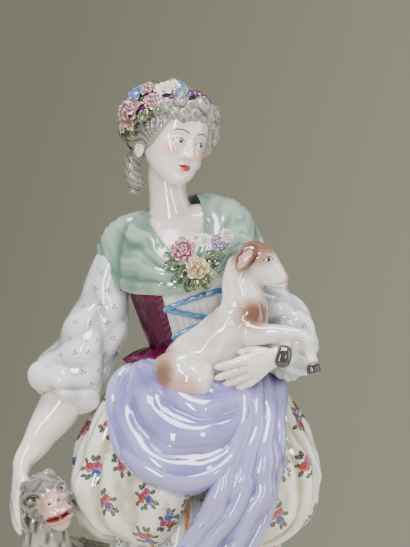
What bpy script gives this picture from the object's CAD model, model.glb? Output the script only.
"""Porcelain group: a shepherdess in eighteenth-century dress holds a lamb and rests her hand on a sheep.

The shapes are worked out in millimetres from the same named sizes as the solid, and each finished piece is
scaled to metres. She faces -Y, +Z is up, and the origin is the middle of the base's flat underside.
"""
import math

import bmesh
import bpy
import numpy as np
from mathutils import Euler, Matrix, Vector, noise


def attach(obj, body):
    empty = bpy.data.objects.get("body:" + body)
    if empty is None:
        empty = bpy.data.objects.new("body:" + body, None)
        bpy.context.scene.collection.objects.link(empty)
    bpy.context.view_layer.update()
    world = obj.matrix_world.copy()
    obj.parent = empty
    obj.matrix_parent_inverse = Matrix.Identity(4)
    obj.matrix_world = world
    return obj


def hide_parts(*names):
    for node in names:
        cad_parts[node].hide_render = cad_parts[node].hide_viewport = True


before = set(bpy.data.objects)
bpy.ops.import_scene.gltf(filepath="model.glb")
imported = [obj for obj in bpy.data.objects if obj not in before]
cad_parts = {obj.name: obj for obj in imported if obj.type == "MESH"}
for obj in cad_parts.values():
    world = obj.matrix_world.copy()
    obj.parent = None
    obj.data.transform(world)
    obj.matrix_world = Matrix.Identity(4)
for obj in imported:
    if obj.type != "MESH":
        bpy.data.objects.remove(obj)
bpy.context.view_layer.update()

FIGURE = "shepherdess_with_lamb_and_sheep"
MM = 0.001

# Driving dimensions, in millimetres
GROUND = 20  # top of the base
HEAD = 40.5  # chin to crown
CROWN = GROUND + 7.55 * HEAD
BASE_WIDTH, BASE_DEPTH, BASE_EDGE = 152, 122, 15
WAIST = 212
SKIRT_X, SKIRT_Y, SKIRT_DEEP = 11.4, 1, 0.93  # the skirt's middle, and its depth for a width of 1
PUFF, WIDEST, TUCK = 54.5, 154, 130  # half width of the overskirt, and the heights of its widest and lowest parts
HEM = 24
FLUTES, STRIPES = 18, 15
HAND = 30  # wrist to fingertip

rad, pi = math.radians, math.pi


# Numbers and curves
def vec(*xyz):
    return np.array(xyz, float)


def points_at(x, y, z):
    """Points in rows, from an array of each coordinate."""
    return np.stack([x, y, z], 1)


def unit(v):
    return v / np.maximum(np.linalg.norm(v, axis=-1, keepdims=True), 1e-9)


def lerp(a, b, t):
    return a + (b - a) * t


def bell(x, middle, width):
    return np.exp(-(((x - middle) / width) ** 2))


def ease(x, low, high):
    t = np.clip((x - low) / (high - low), 0, 1)
    return t * t * (3 - 2 * t)


def domed(x):
    """The height of a unit half circle at x, and 0 outside it."""
    return np.sqrt(np.clip(1 - x**2, 0, 1))


def turn_from(a, b):
    return np.arctan2(np.sin(a - b), np.cos(a - b))


def nearest_to(points, goal):
    """The number of the point that is nearest to the goal."""
    return np.argmin(np.sum((points - goal) ** 2, 1))


def ridge(x):
    """A wave with round tops and narrow creases, from 0 to 1, one wave for each whole number."""
    return np.sqrt(np.sin(pi * x) ** 2 + 0.012)


def rough(points, size, seed=0.0):
    """Smooth noise from about -1 to 1 at each point, with lumps of the given size."""
    return np.array([noise.noise(Vector(p)) for p in np.asarray(points) / size + seed])


def through(pairs):
    """A smooth function through [place, value] pairs."""
    place, value = np.array(sorted(pairs), float).T
    low = np.maximum(np.arange(len(place)) - 1, 0)
    high = np.minimum(np.arange(len(place)) + 1, len(place) - 1)
    slope = (value[high] - value[low]) / (place[high] - place[low])

    def at(x):
        x = np.clip(x, place[0], place[-1])
        i = np.clip(np.searchsorted(place, x, side="right") - 1, 0, len(place) - 2)
        h = place[i + 1] - place[i]
        t = (x - place[i]) / h
        smooth = lerp(value[i], value[i + 1], t * t * (3 - 2 * t))
        return smooth + h * (slope[i] * t * (1 - t) ** 2 - slope[i + 1] * t * t * (1 - t))

    return at


def spline(points, closed=False):
    """A smooth curve through the points, as a function of an array of places from 0 to 1."""
    p = np.array(points, float)
    if closed:
        p = np.vstack([p[-1:], p, p[:2]])
    else:
        p = np.vstack([2 * p[:1] - p[1:2], p, 2 * p[-1:] - p[-2:-1]])
    spans = len(p) - 3

    def at(t):
        s = (np.asarray(t, float) % 1 if closed else np.clip(t, 0, 1)) * spans
        i = np.minimum(s.astype(int), spans - 1)
        f = (s - i)[..., None]
        a, b, c, d = p[i], p[i + 1], p[i + 2], p[i + 3]
        start = (2 * f**3 - 3 * f**2 + 1) * b + (f**3 - 2 * f**2 + f) * (c - a) / 2
        return start + (3 * f**2 - 2 * f**3) * c + (f**3 - f**2) * (d - b) / 2

    return at


# Meshes
def values_of(parts, field, width=1, kind=np.float32):
    """One field of all of a mesh's points, edges, faces or corners, in rows of the given width."""
    flat = np.empty(len(parts) * width, kind)
    parts.foreach_get(field, flat)
    return flat.reshape(-1, width) if width > 1 else flat


def store(mesh, name, values, kind="FLOAT_VECTOR", field="vector", domain="POINT"):
    """Keeps values on a mesh as an attribute."""
    kept = mesh.attributes.get(name) or mesh.attributes.new(name, kind, domain)
    kept.data.foreach_set(field, values.astype(np.float32).ravel())


def coords(mesh):
    return values_of(mesh.vertices, "co", 3).astype(float)


def move(mesh, at):
    mesh.vertices.foreach_set("co", at.astype(np.float32).ravel())
    mesh.update()


def front_of(points, x, z, reach=1.2):
    """The foremost of the points near x and z."""
    away = np.hypot(points[:, 0] - x, points[:, 2] - z)
    near = points[away < max(reach, away.min() + 0.3)]
    return near[np.argmin(near[:, 1])]


def mesh_from(bm, name):
    mesh = bpy.data.meshes.new(name)
    bm.to_mesh(mesh)
    bm.free()
    return mesh


def bmesh_from(meshes):
    """The meshes joined in one bmesh."""
    bm = bmesh.new()
    for mesh in meshes:
        bm.from_mesh(mesh)
        bpy.data.meshes.remove(mesh)
    return bm


def shown(name, data):
    """A new object of the scene."""
    obj = bpy.data.objects.new(name, data)
    bpy.context.scene.collection.objects.link(obj)
    return obj


# Forms. Each is a closed mesh in millimetres, with two attributes that its glaze and paint may read:
# "lay" says where on the form a point is, and "own" is its place before the form is turned and placed.
def formed(bm, shape):
    """The bmesh as a mesh whose points have all been moved by shape(points), which returns places and lay."""
    mesh = mesh_from(bm, "form")
    places, lay = shape(coords(mesh))
    move(mesh, places)
    store(mesh, "lay", lay)
    store(mesh, "own", places)
    return mesh


def ball_mesh(sides, rows):
    bm = bmesh.new()
    bmesh.ops.create_uvsphere(bm, u_segments=sides, v_segments=rows, radius=1)
    return bm


def limb(stations, sides=40, rows=60, across=(1, 0, 0), end=0.1, turn=0, relief=None):
    """A closed form with rounded ends along a smooth line of [x, y, z, half width, half depth] stations.
    The width lies along across, turned by turn degrees, and relief(t, angle) stands out from the surface."""
    table = np.array([[*s, s[3]][:5] for s in stations], float)
    line, girth = spline(table[:, :3]), spline(table[:, 3:])

    def shape(p):
        polar = np.arccos(np.clip(p[:, 2], -1, 1)) / pi
        t = lerp(polar, (1 - p[:, 2]) / 2, 0.4)
        angle = np.arctan2(p[:, 1], p[:, 0])
        tangent = unit(line(t + 1e-4) - line(t - 1e-4))
        side = unit(vec(*across) - tangent * (tangent @ vec(*across))[:, None])
        deep = np.cross(tangent, side)
        side = side * math.cos(rad(turn)) + deep * math.sin(rad(turn))
        deep = np.cross(tangent, side)
        near = np.clip(np.minimum(t, 1 - t) / end, 0, 1)
        full = np.sqrt(1 - (1 - near) ** 2)
        size = girth(t)
        out = side * (np.cos(angle) * size[:, 0])[:, None] + deep * (np.sin(angle) * size[:, 1])[:, None]
        if relief:
            out *= (1 + relief(t, angle) / np.maximum(np.linalg.norm(out, axis=1), 0.1))[:, None]
        return line(t) + out * full[:, None], points_at(t, np.cos(angle), np.sin(angle))

    return formed(ball_mesh(sides, rows), shape)


def ball(middle, radii, sides=24, rows=16, relief=None):
    """An ellipsoid of the given half sizes; relief(x, y, z of the unit direction) stands out from it."""

    def shape(p):
        raised = relief(*p.T)[:, None] if relief else 0
        return vec(*middle) + p * (vec(*radii) + raised), p

    return formed(ball_mesh(sides, rows), shape)


def turned(profile, sides, rows, shape):
    """A form turned from a profile of [radius, height] that starts and ends on the axis,
    then shaped by a function of angle, radius, height and place along the profile."""
    line = spline(profile)

    def lathe(p):
        along = np.arccos(np.clip(p[:, 2], -1, 1)) / pi
        a = np.arctan2(p[:, 1], p[:, 0])
        r, z = line(along).T
        r = np.maximum(r, 0) * (np.abs(p[:, 2]) < 1 - 1e-6)
        return shape(a, r, z, along), points_at(along, np.cos(a), np.sin(a))

    return formed(ball_mesh(sides, rows), lathe)


def cloth(surface, columns, rows, thick=2.5):
    """A layer of cloth whose face is surface(u, v), made solid behind."""
    bm = bmesh.new()
    bmesh.ops.create_grid(bm, x_segments=columns, y_segments=rows, size=0.5)

    def shape(p):
        u, v = p[:, 0] + 0.5, p[:, 1] + 0.5
        return surface(u, v), points_at(u, v, 0 * u)

    bm = bmesh_from([formed(bm, shape)])
    bmesh.ops.solidify(bm, geom=bm.faces[:], thickness=thick)
    return mesh_from(bm, "form")


def ring(sides, around, shape):
    """A closed ring: shape(u round the ring, angle round its section) returns places."""
    far = 4  # from the ring's middle to its section's, before it is shaped
    bm = bmesh.new()
    section = bmesh.ops.create_circle(bm, segments=sides, radius=1)["verts"]
    bmesh.ops.transform(bm, matrix=Matrix.Translation((far, 0, 0)) @ Matrix.Rotation(rad(90), 4, "X"), verts=section)
    bmesh.ops.spin(
        bm, geom=bm.verts[:] + bm.edges[:], cent=(0, 0, 0), axis=(0, 0, 1), dvec=(0, 0, 0),
        angle=2 * pi, steps=around, use_merge=True, use_duplicate=False,
    )

    def bent(p):
        u = (np.arctan2(p[:, 1], p[:, 0]) / (2 * pi)) % 1
        a = np.arctan2(p[:, 2], np.hypot(p[:, 0], p[:, 1]) - far)
        return shape(u, a), points_at(u, np.cos(a), np.sin(a))

    return formed(bm, bent)


def place(meshes, yaw=0, pitch=0, lean=0, at=(0, 0, 0)):
    """Turns and places forms that were made in their own frame, facing -Y."""
    turn = Euler((rad(pitch), rad(lean), rad(yaw)), "XYZ").to_matrix().to_4x4()
    for mesh in meshes:
        mesh.transform(Matrix.Translation(at) @ turn)
    return meshes


def point_out(forms, at, facing, spin=0):
    """Turns forms made along +Z to face a direction, and sets them there."""
    turn = Vector((0, 0, 1)).rotation_difference(Vector(facing)).to_matrix().to_4x4()
    turn = turn @ Matrix.Rotation(rad(spin), 4, "Z")
    for mesh in forms:
        mesh.transform(Matrix.Translation(at) @ turn)
    return forms


def fused(forms, grain, rounds=3):
    """Forms melted into one skin, with the creases where they meet softened."""
    joined = mesh_from(bmesh_from(forms), "joined")
    carrier = shown("carrier", joined)
    skin = carrier.modifiers.new("skin", "REMESH")
    skin.mode, skin.voxel_size, skin.adaptivity = "VOXEL", grain, 0
    bpy.context.view_layer.update()
    shell = carrier.evaluated_get(bpy.context.evaluated_depsgraph_get())
    bm = bmesh.new()
    bm.from_mesh(shell.to_mesh())
    shell.to_mesh_clear()
    bpy.data.objects.remove(carrier)
    bpy.data.meshes.remove(joined)
    for _ in range(rounds):
        bmesh.ops.smooth_vert(bm, verts=bm.verts[:], factor=0.5, use_axis_x=True, use_axis_y=True, use_axis_z=True)
    return formed(bm, lambda p: (p, 0 * p))


def tinted(meshes, *colour):
    """Gives forms a paint colour of their own, as an attribute."""
    for mesh in meshes:
        store(mesh, "tint", np.tile((*colour, 1.0), len(mesh.vertices)), "FLOAT_COLOR", "color")
    return meshes


HOLLOW_DEPTH = 0.3  # millimetres below or above its surroundings that count as wholly hollow or raised


def hollows(mesh, passes, rounded):
    """Stores how far each point lies below (1) or above (-1) the general run of the surface near it. On a rounded
    form the run itself lies deep, so its usual depth is taken off."""
    at, count = coords(mesh), len(mesh.vertices)
    ends = values_of(mesh.edges, "vertices", 2, np.int32)
    a, b = ends.T
    near = np.maximum(np.bincount(ends.ravel(), minlength=count), 1)
    run = at.copy()
    for _ in range(passes):
        sums = [np.bincount(a, run[b, k], count) + np.bincount(b, run[a, k], count) for k in range(3)]
        run = np.stack(sums, 1) / near[:, None]
    below = np.sum((run - at) * values_of(mesh.vertex_normals, "vector", 3), 1) / MM
    if rounded:
        below = 0.5 * (below - np.median(below))
    store(mesh, "hollow", np.clip(below / HOLLOW_DEPTH, -1, 1), "FLOAT", "value")


FAR = 99.0  # the place on a spot's map of a face that shows no part of it
OFF_PLANE = 5  # millimetres from a spot's own plane beyond which a face shows no part of it
SPOT_REACH = 8  # millimetres round a spot whose directions are averaged for its plane


def stamps(mesh, spots):
    """Lays small flat maps on a form, one round each [place, degrees turned]: every face reads the map of the
    nearest spot, in millimetres right and up of it, and "kind" tells the spots apart."""
    at = coords(mesh)
    normals = values_of(mesh.vertex_normals, "vector", 3)
    middles = np.array([spot[0] for spot in spots], float)
    centres = values_of(mesh.polygons, "center", 3)
    nearest = np.argmin(np.stack([np.sum((centres - m) ** 2, 1) for m in middles]), 0)
    rights, ups = [], []
    for middle, turn in spots:
        beside = np.sum((at - at[nearest_to(at, middle)]) ** 2, 1) < SPOT_REACH**2
        normal = unit(normals[beside].mean(0).astype(float))
        right = unit(np.cross(vec(0, 0, 1), normal))
        up = np.cross(normal, right)
        rights.append(right * math.cos(rad(turn)) + up * math.sin(rad(turn)))
        ups.append(up * math.cos(rad(turn)) - right * math.sin(rad(turn)))
    rights, ups = np.array(rights), np.array(ups)
    corners = values_of(mesh.loops, "vertex_index", kind=np.int32)
    sizes = values_of(mesh.polygons, "loop_total", kind=np.int32)
    which = np.repeat(nearest, sizes)
    away = at[corners] - middles[which]
    flat = np.stack([np.sum(away * rights[which], 1), np.sum(away * ups[which], 1)], 1)
    off = np.abs(np.sum(away * np.cross(rights, ups)[which], 1))
    aside = np.maximum.reduceat(off, np.concatenate([[0], np.cumsum(sizes)[:-1]])) > OFF_PLANE
    flat[np.repeat(aside, sizes)] = FAR
    mesh.uv_layers.new(name="stamp").data.foreach_set("uv", flat.astype(np.float32).ravel())
    store(mesh, "kind", nearest, "FLOAT", "value", "FACE")
    return mesh


def piece(name, meshes, material, passes=14, rounded=False):
    """Joins forms into one piece of the figure, in metres."""
    stamped = any(mesh.uv_layers for mesh in meshes)
    for mesh in meshes:
        if stamped and not mesh.uv_layers:
            mesh.uv_layers.new(name="stamp").data.foreach_set("uv", np.full(len(mesh.loops) * 2, FAR, np.float32))
    bm = bmesh_from(meshes)
    bmesh.ops.recalc_face_normals(bm, faces=bm.faces[:])
    bmesh.ops.scale(bm, vec=(MM, MM, MM), verts=bm.verts[:])
    whole = mesh_from(bm, name)
    whole.shade_smooth()
    hollows(whole, passes, rounded)
    whole.materials.append(material)
    obj = shown(name, whole)
    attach(obj, "root")
    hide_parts(FIGURE)


# Camera, light and floor, in metres
VIEW_MIDDLE = (0.0154, 0.2473)  # right of her middle, and above the floor
VIEW_HEIGHT = 0.2407
VIEW_DISTANCE = 1.9
FRONT_OF_MIDDLE = 0.012  # how far in front of her middle the view's height is measured
SENSOR = 24


def camera():
    lens = bpy.data.cameras.new("camera")
    lens.sensor_fit = "VERTICAL"
    lens.sensor_height = SENSOR
    lens.lens = SENSOR * (VIEW_DISTANCE - FRONT_OF_MIDDLE) / VIEW_HEIGHT
    obj = shown("camera", lens)
    obj.location = (VIEW_MIDDLE[0], -VIEW_DISTANCE, VIEW_MIDDLE[1])
    obj.rotation_euler = (rad(90), 0, 0)
    bpy.context.scene.camera = obj


def softbox(name, at, width, height, watts):
    """A soft rectangular light that faces the middle of the figure."""
    light = bpy.data.lights.new(name, "AREA")
    light.shape = "RECTANGLE"
    light.size, light.size_y = width, height
    light.energy = watts
    obj = shown(name, light)
    obj.location = at
    obj.rotation_euler = (Vector((0, 0, 0.2)) - Vector(at)).to_track_quat("-Z", "Y").to_euler()


def studio():
    camera()
    softbox("window_left", (-0.5, -1.25, 0.62), 0.16, 0.7, 13)
    softbox("window_right", (0.28, -1.45, 0.75), 0.14, 0.6, 7)
    softbox("overhead", (-0.1, -0.5, 1.5), 0.7, 0.55, 26)
    softbox("fill", (1.4, -0.2, 0.6), 0.8, 1.2, 8)
    world = bpy.data.worlds.new("studio")
    bpy.context.scene.world = world
    world.use_nodes = True
    sky = world.node_tree.nodes["Background"].inputs
    sky["Color"].default_value = (0.62, 0.63, 0.56, 1)
    sky["Strength"].default_value = 0.27


# Shader maths
class Socket:
    """A shader socket that takes part in Python arithmetic."""

    def __init__(self, paint, socket):
        self.paint, self.socket = paint, socket

    def math(self, operation, *others):
        return self.paint.node("ShaderNodeMath", {"operation": operation}, self, *others)

    def __add__(self, other):
        return self.math("ADD", other)

    def __sub__(self, other):
        return self.math("SUBTRACT", other)

    def __rsub__(self, other):
        return self.paint.node("ShaderNodeMath", {"operation": "SUBTRACT"}, other, self)

    def __mul__(self, other):
        return self.math("MULTIPLY", other)

    __radd__, __rmul__ = __add__, __mul__

    def __truediv__(self, other):
        return self.math("DIVIDE", other)

    def __pow__(self, other):
        return self.math("POWER", other)

    def __abs__(self):
        return self.math("ABSOLUTE")

    def above(self, edge, soft):
        """0 below the edge and 1 above it, with a soft step."""
        return self.paint.node(
            "ShaderNodeMapRange", {"interpolation_type": "SMOOTHSTEP"}, self, edge - soft, edge + soft, 0.0, 1.0
        )

    def below(self, edge, soft):
        return 1 - self.above(edge, soft)

    def near(self, half, soft):
        """1 within half of zero and 0 outside it."""
        return abs(self).below(half, soft)

    def band(self, middle, half, soft):
        """1 within half of the middle and 0 outside it."""
        return (self - middle).near(half, soft)


def far_from(a, b):
    """The distance from the place where both sockets are 0."""
    return (a**2.0 + b**2.0).math("SQRT")


class Paint:
    """A glazed material. Its coat starts as one colour, and further colours are laid over it."""

    def __init__(self, name, coat, roughness=0.07, glaze=1.0):
        self.coat = coat
        self.material = bpy.data.materials.new(name)
        self.material.use_nodes = True
        self.tree = self.material.node_tree
        self.inputs = self.tree.nodes["Principled BSDF"].inputs
        for socket, value in (("Roughness", roughness), ("Coat Weight", glaze), ("Coat Roughness", 0.03), ("IOR", 1.5)):
            self.inputs[socket].default_value = value

    def plug(self, socket, value):
        """Feeds a socket from another one, or sets its value."""
        if isinstance(value, Socket):
            self.tree.links.new(value.socket, socket)
        else:
            socket.default_value = (*value, 1.0) if socket.type == "RGBA" else value

    def node(self, kind, settings, *values, out=0, **named):
        made = self.tree.nodes.new(kind)
        for key, value in settings.items():
            setattr(made, key, value)
        for socket, value in list(zip(made.inputs, values)) + [(made.inputs[k], v) for k, v in named.items()]:
            self.plug(socket, value)
        return Socket(self, made.outputs[out])

    def place(self):
        """The point of the object, in metres."""
        return self.node("ShaderNodeTexCoord", {}, out=3)

    def millimetres(self):
        """The point of the object, in millimetres."""
        return self.scaled(self.place(), 1000.0)

    def attribute(self, name, out=1):
        return self.node("ShaderNodeAttribute", {"attribute_name": name}, out=out)

    def hollow(self):
        """How far the surface lies below (1) or above (-1) its surroundings."""
        return self.attribute("hollow", 2)

    def stamp(self):
        """Millimetres right and up of the nearest painted spot."""
        return self.split(self.node("ShaderNodeUVMap", {"uv_map": "stamp"}))[:2]

    def split(self, vector):
        outputs = self.node("ShaderNodeSeparateXYZ", {}, vector).socket.node.outputs
        return [Socket(self, output) for output in outputs]

    def scaled(self, vector, by):
        return self.node("ShaderNodeVectorMath", {"operation": "SCALE"}, vector, Scale=by)

    def noise(self, vector, scale, detail=2.0, distortion=0.0):
        return self.node("ShaderNodeTexNoise", {}, Vector=vector, Scale=scale, Detail=detail, Distortion=distortion)

    def mix(self, share, a, b):
        """Colour a where share is 0 and b where it is 1."""
        made = self.tree.nodes.new("ShaderNodeMix")
        made.data_type = "RGBA"
        for number, value in ((0, share), (6, a), (7, b)):
            self.plug(made.inputs[number], value)
        return Socket(self, made.outputs[2])

    def over(self, share, colour):
        """Lays a colour over the coat so far, wholly where share is 1."""
        self.coat = self.mix(share, self.coat, colour)

    def finish(self):
        self.plug(self.inputs["Base Color"], self.coat)
        return self.material


def shaded(colour, by):
    return tuple(by * c for c in colour)


def plain(name, colour):
    """A glazed colour that pools a little darker here and there."""
    paint = Paint(name, colour)
    paint.over(paint.noise(paint.place(), 60.0, 3.0).above(0.55, 0.2), shaded(colour, 0.82))
    return paint.finish()


def cloth_paint(name, colour, deep, pale, cloudy=0.25, cloud_scale=60.0):
    """A glazed cloth colour: deeper where it pools in the folds and paler on their crests."""
    paint = Paint(name, colour)
    hollow = paint.hollow()
    paint.over(paint.noise(paint.place(), cloud_scale, 3.0).above(0.52, 0.18) * cloudy, deep)
    paint.over(hollow.above(0.35, 0.4) * 0.75, deep)
    paint.over(hollow.below(-0.4, 0.45) * 0.6, pale)
    return paint


SKIN, BLUSH, PEACH = (0.88, 0.785, 0.77), (0.74, 0.33, 0.25), (0.80, 0.55, 0.47)


def face_paint():
    """Porcelain skin with painted brows, eyes, lips and a blush, in the head's own millimetres."""
    paint = Paint("face_glaze", SKIN)
    own = paint.attribute("own")
    x, y, z = paint.split(own)
    side, gaze = abs(x), abs(x - 0.35)
    front = y.below(-9.0, 2.0)

    def spot(across, high, wide, tall):
        """Distance from a middle, 1 at the edge of an oval of the given half sizes."""
        return far_from((side - across) / wide, (z - high) / tall)

    paint.over(paint.noise(own, 0.25, 2.0).above(0.5, 0.3), shaded(SKIN, 0.96))
    paint.over(spot(7.4, -5.0, 5.6, 4.6).below(0.55, 0.5) * 0.85 * front, BLUSH)
    warm = spot(0.0, -17.5, 4.0, 2.6).below(0.6, 0.45) * 0.2 + spot(EYE_APART, 2.0, 4.0, 1.6).below(0.6, 0.5) * 0.3
    paint.over(warm * front, PEACH)
    paint.over(paint.hollow().above(0.3, 0.3) * 0.25, PEACH)

    arch = z - (BROW_HIGH + 0.9 - 0.085 * (side - 5.4) ** 2.0)
    brow = arch.near(0.36, 0.16) * side.above(1.9, 0.3) * side.below(8.4, 0.8)
    across = (side - EYE_APART) / 2.75
    upper = EYE_HIGH + 1.15 - 1.5 * across**2.0
    lower = EYE_HIGH - 1.25 + 1.1 * across**2.0
    inside = z.math("LESS_THAN", upper) * z.math("GREATER_THAN", lower)
    white = (z - upper).below(0.0, 0.15) * (z - lower).above(0.0, 0.15) * inside
    iris = far_from(gaze - EYE_APART, z - EYE_HIGH + 0.15)
    glint = far_from(gaze - EYE_APART - 0.35, z - EYE_HIGH - 0.4)
    bow = -10.15 - 0.16 * side**2.0 - 0.27 * side.below(0.7, 0.6)
    lips = (z - bow).below(0.0, 0.18) * (z - (-13.4 + 0.19 * side**2.0)).above(0.0, 0.18) * side.below(3.35, 0.25)
    for share, colour in (
        (brow * 0.95, (0.06, 0.04, 0.035)),
        (white * 0.9, (0.76, 0.77, 0.78)),
        (iris.below(1.12, 0.12) * white, (0.12, 0.17, 0.25)),
        (iris.below(0.52, 0.1) * white, (0.02, 0.02, 0.03)),
        (glint.below(0.24, 0.08), (0.9, 0.9, 0.9)),
        ((z - upper).near(0.26, 0.14) * across.near(1.12, 0.12) * 0.92, (0.07, 0.05, 0.05)),
        ((z - lower).near(0.12, 0.1) * across.near(1.0, 0.15) * 0.5, (0.25, 0.14, 0.12)),
        ((z - upper - 0.95).near(0.1, 0.12) * across.near(1.0, 0.2) * 0.45, (0.4, 0.22, 0.18)),
        (lips, (0.50, 0.035, 0.03)),
        ((z - MOUTH_HIGH - 0.05 * side).near(0.13, 0.1) * side.below(3.6, 0.3) * 0.8, (0.2, 0.01, 0.01)),
        (spot(1.15, NOSE_LOW - 0.45, 0.55, 0.35).below(0.8, 0.3) * 0.6, (0.45, 0.12, 0.08)),
    ):
        paint.over(share * front, colour)
    return paint.finish()


def hair_paint():
    """Powdered grey hair: brush strokes of warm grey, white on the crests and dark in the partings."""
    paint = Paint("hair_glaze", (0.115, 0.095, 0.08))
    hollow = paint.hollow()
    paint.over(paint.noise(paint.attribute("own"), 0.9, 4.0, 1.5).above(0.5, 0.18), (0.235, 0.205, 0.185))
    paint.over(hollow.above(0.3, 0.5) * 0.62, (0.05, 0.04, 0.034))
    paint.over(hollow.below(-0.45, 0.4) * 0.55, (0.42, 0.395, 0.37))
    return paint.finish()


def petal_paint():
    """Each petal in its flower's own colour, pale at the rim and deeper towards its base."""
    paint = Paint("petal_glaze", None)
    lay = paint.attribute("lay")
    along = paint.split(lay)[2]
    paint.coat = tint = paint.attribute("tint", 0)
    paint.over(along.below(0.55, 0.3) * 0.65, paint.scaled(tint, 0.42))
    veins = paint.noise(lay, 6.0, 2.0)
    paint.over(along.above(0.86, 0.08) * 0.55 + veins.above(0.62, 0.1) * 0.15, (0.82, 0.78, 0.76))
    return paint.finish()


def leaf_paint():
    """Painted leaves with a darker rib and edge."""
    paint = Paint("leaf_glaze", None)
    across, _, along = paint.split(paint.attribute("lay"))
    paint.coat = tint = paint.attribute("tint", 0)
    side = abs(across)
    rib = side.below(0.07, 0.05)
    veins = (((along - side * 0.5) * 9.0).math("FRACT") - 0.5).near(0.1, 0.08) * 0.6
    patches = paint.noise(paint.attribute("own"), 0.7, 2.0)
    paint.over(patches.above(0.55, 0.1) * 0.5, (0.36, 0.42, 0.22))
    paint.over((rib + veins + side.above(0.8, 0.1)).math("MINIMUM", 1.0), paint.scaled(tint, 0.35))
    return paint.finish()


def skin_paint():
    """Porcelain skin, pink between the fingers and in the hollows."""
    paint = Paint("skin_glaze", SKIN)
    paint.over(paint.noise(paint.place(), 45.0, 2.0).above(0.5, 0.2) * 0.35, (0.80, 0.66, 0.60))
    paint.over(paint.hollow().above(0.12, 0.3) * 0.75, (0.66, 0.34, 0.25))
    return paint.finish()


SHEEP_EYE = (7.2, 4.2)
SHEEP_LIPS = -6.6  # height of the parting of its lips, in the head's own frame


def sheep_face_paint():
    """A grey face with a pink muzzle, dark red nostrils and lips, and black-rimmed eyes."""
    paint = cloth_paint("sheep_face_glaze", (0.15, 0.142, 0.134), (0.04, 0.037, 0.034), (0.32, 0.31, 0.295), 0.5, 160.0)
    own = paint.attribute("own")
    x, y, z = paint.split(own)
    side = abs(x)
    front, muzzle = y.below(-1.5, 0.8), y.below(-11.0, 1.0)
    ragged = (paint.noise(own, 0.6, 3.0) - 0.5) * 4.0
    skin = paint.mix(paint.noise(own, 0.35, 2.0).above(0.5, 0.15), (0.50, 0.29, 0.235), (0.60, 0.44, 0.37))
    lips = z - (SHEEP_LIPS + side**1.5 * 0.05)
    nostril = far_from((side - 2.3) / 0.9, (z - 0.4) / 0.75)
    beside, above = side - SHEEP_EYE[0], z - SHEEP_EYE[1]
    upper = z - (SHEEP_EYE[1] + 1.15 - beside**2.0 * 0.22)
    lower = z - (SHEEP_EYE[1] - 0.95 + beside**2.0 * 0.2)
    inside = upper.below(0.0, 0.12) * lower.above(0.0, 0.12) * front
    reach = beside.near(2.5, 0.3) * front
    for share, colour in (
        ((y + ragged + (z - 2.0).math("MAXIMUM", 0.0) * 0.8).below(-12.0, 2.0), skin),
        ((z + ragged * 0.5).below(-10.5, 2.0) * y.below(-8.0, 2.0) * 0.7, (0.62, 0.46, 0.40)),
        (lips.band(0.1, 1.5, 0.5) * muzzle * side.below(5.4, 0.7), (0.30, 0.04, 0.022)),
        (lips.near(0.35, 0.25) * muzzle * side.below(5.8, 0.6), (0.08, 0.01, 0.01)),
        (nostril.below(0.9, 0.3) * muzzle, (0.22, 0.02, 0.02)),
        (inside, (0.42, 0.42, 0.41)),
        (far_from(beside + 0.5, above - 0.1).below(0.95, 0.12) * inside, (0.03, 0.025, 0.03)),
        (upper.band(0.05, 0.3, 0.15) * reach, (0.012, 0.012, 0.015)),
        (lower.near(0.16, 0.12) * reach * 0.8, (0.03, 0.03, 0.03)),
    ):
        paint.over(share, colour)
    return paint.finish()


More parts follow.
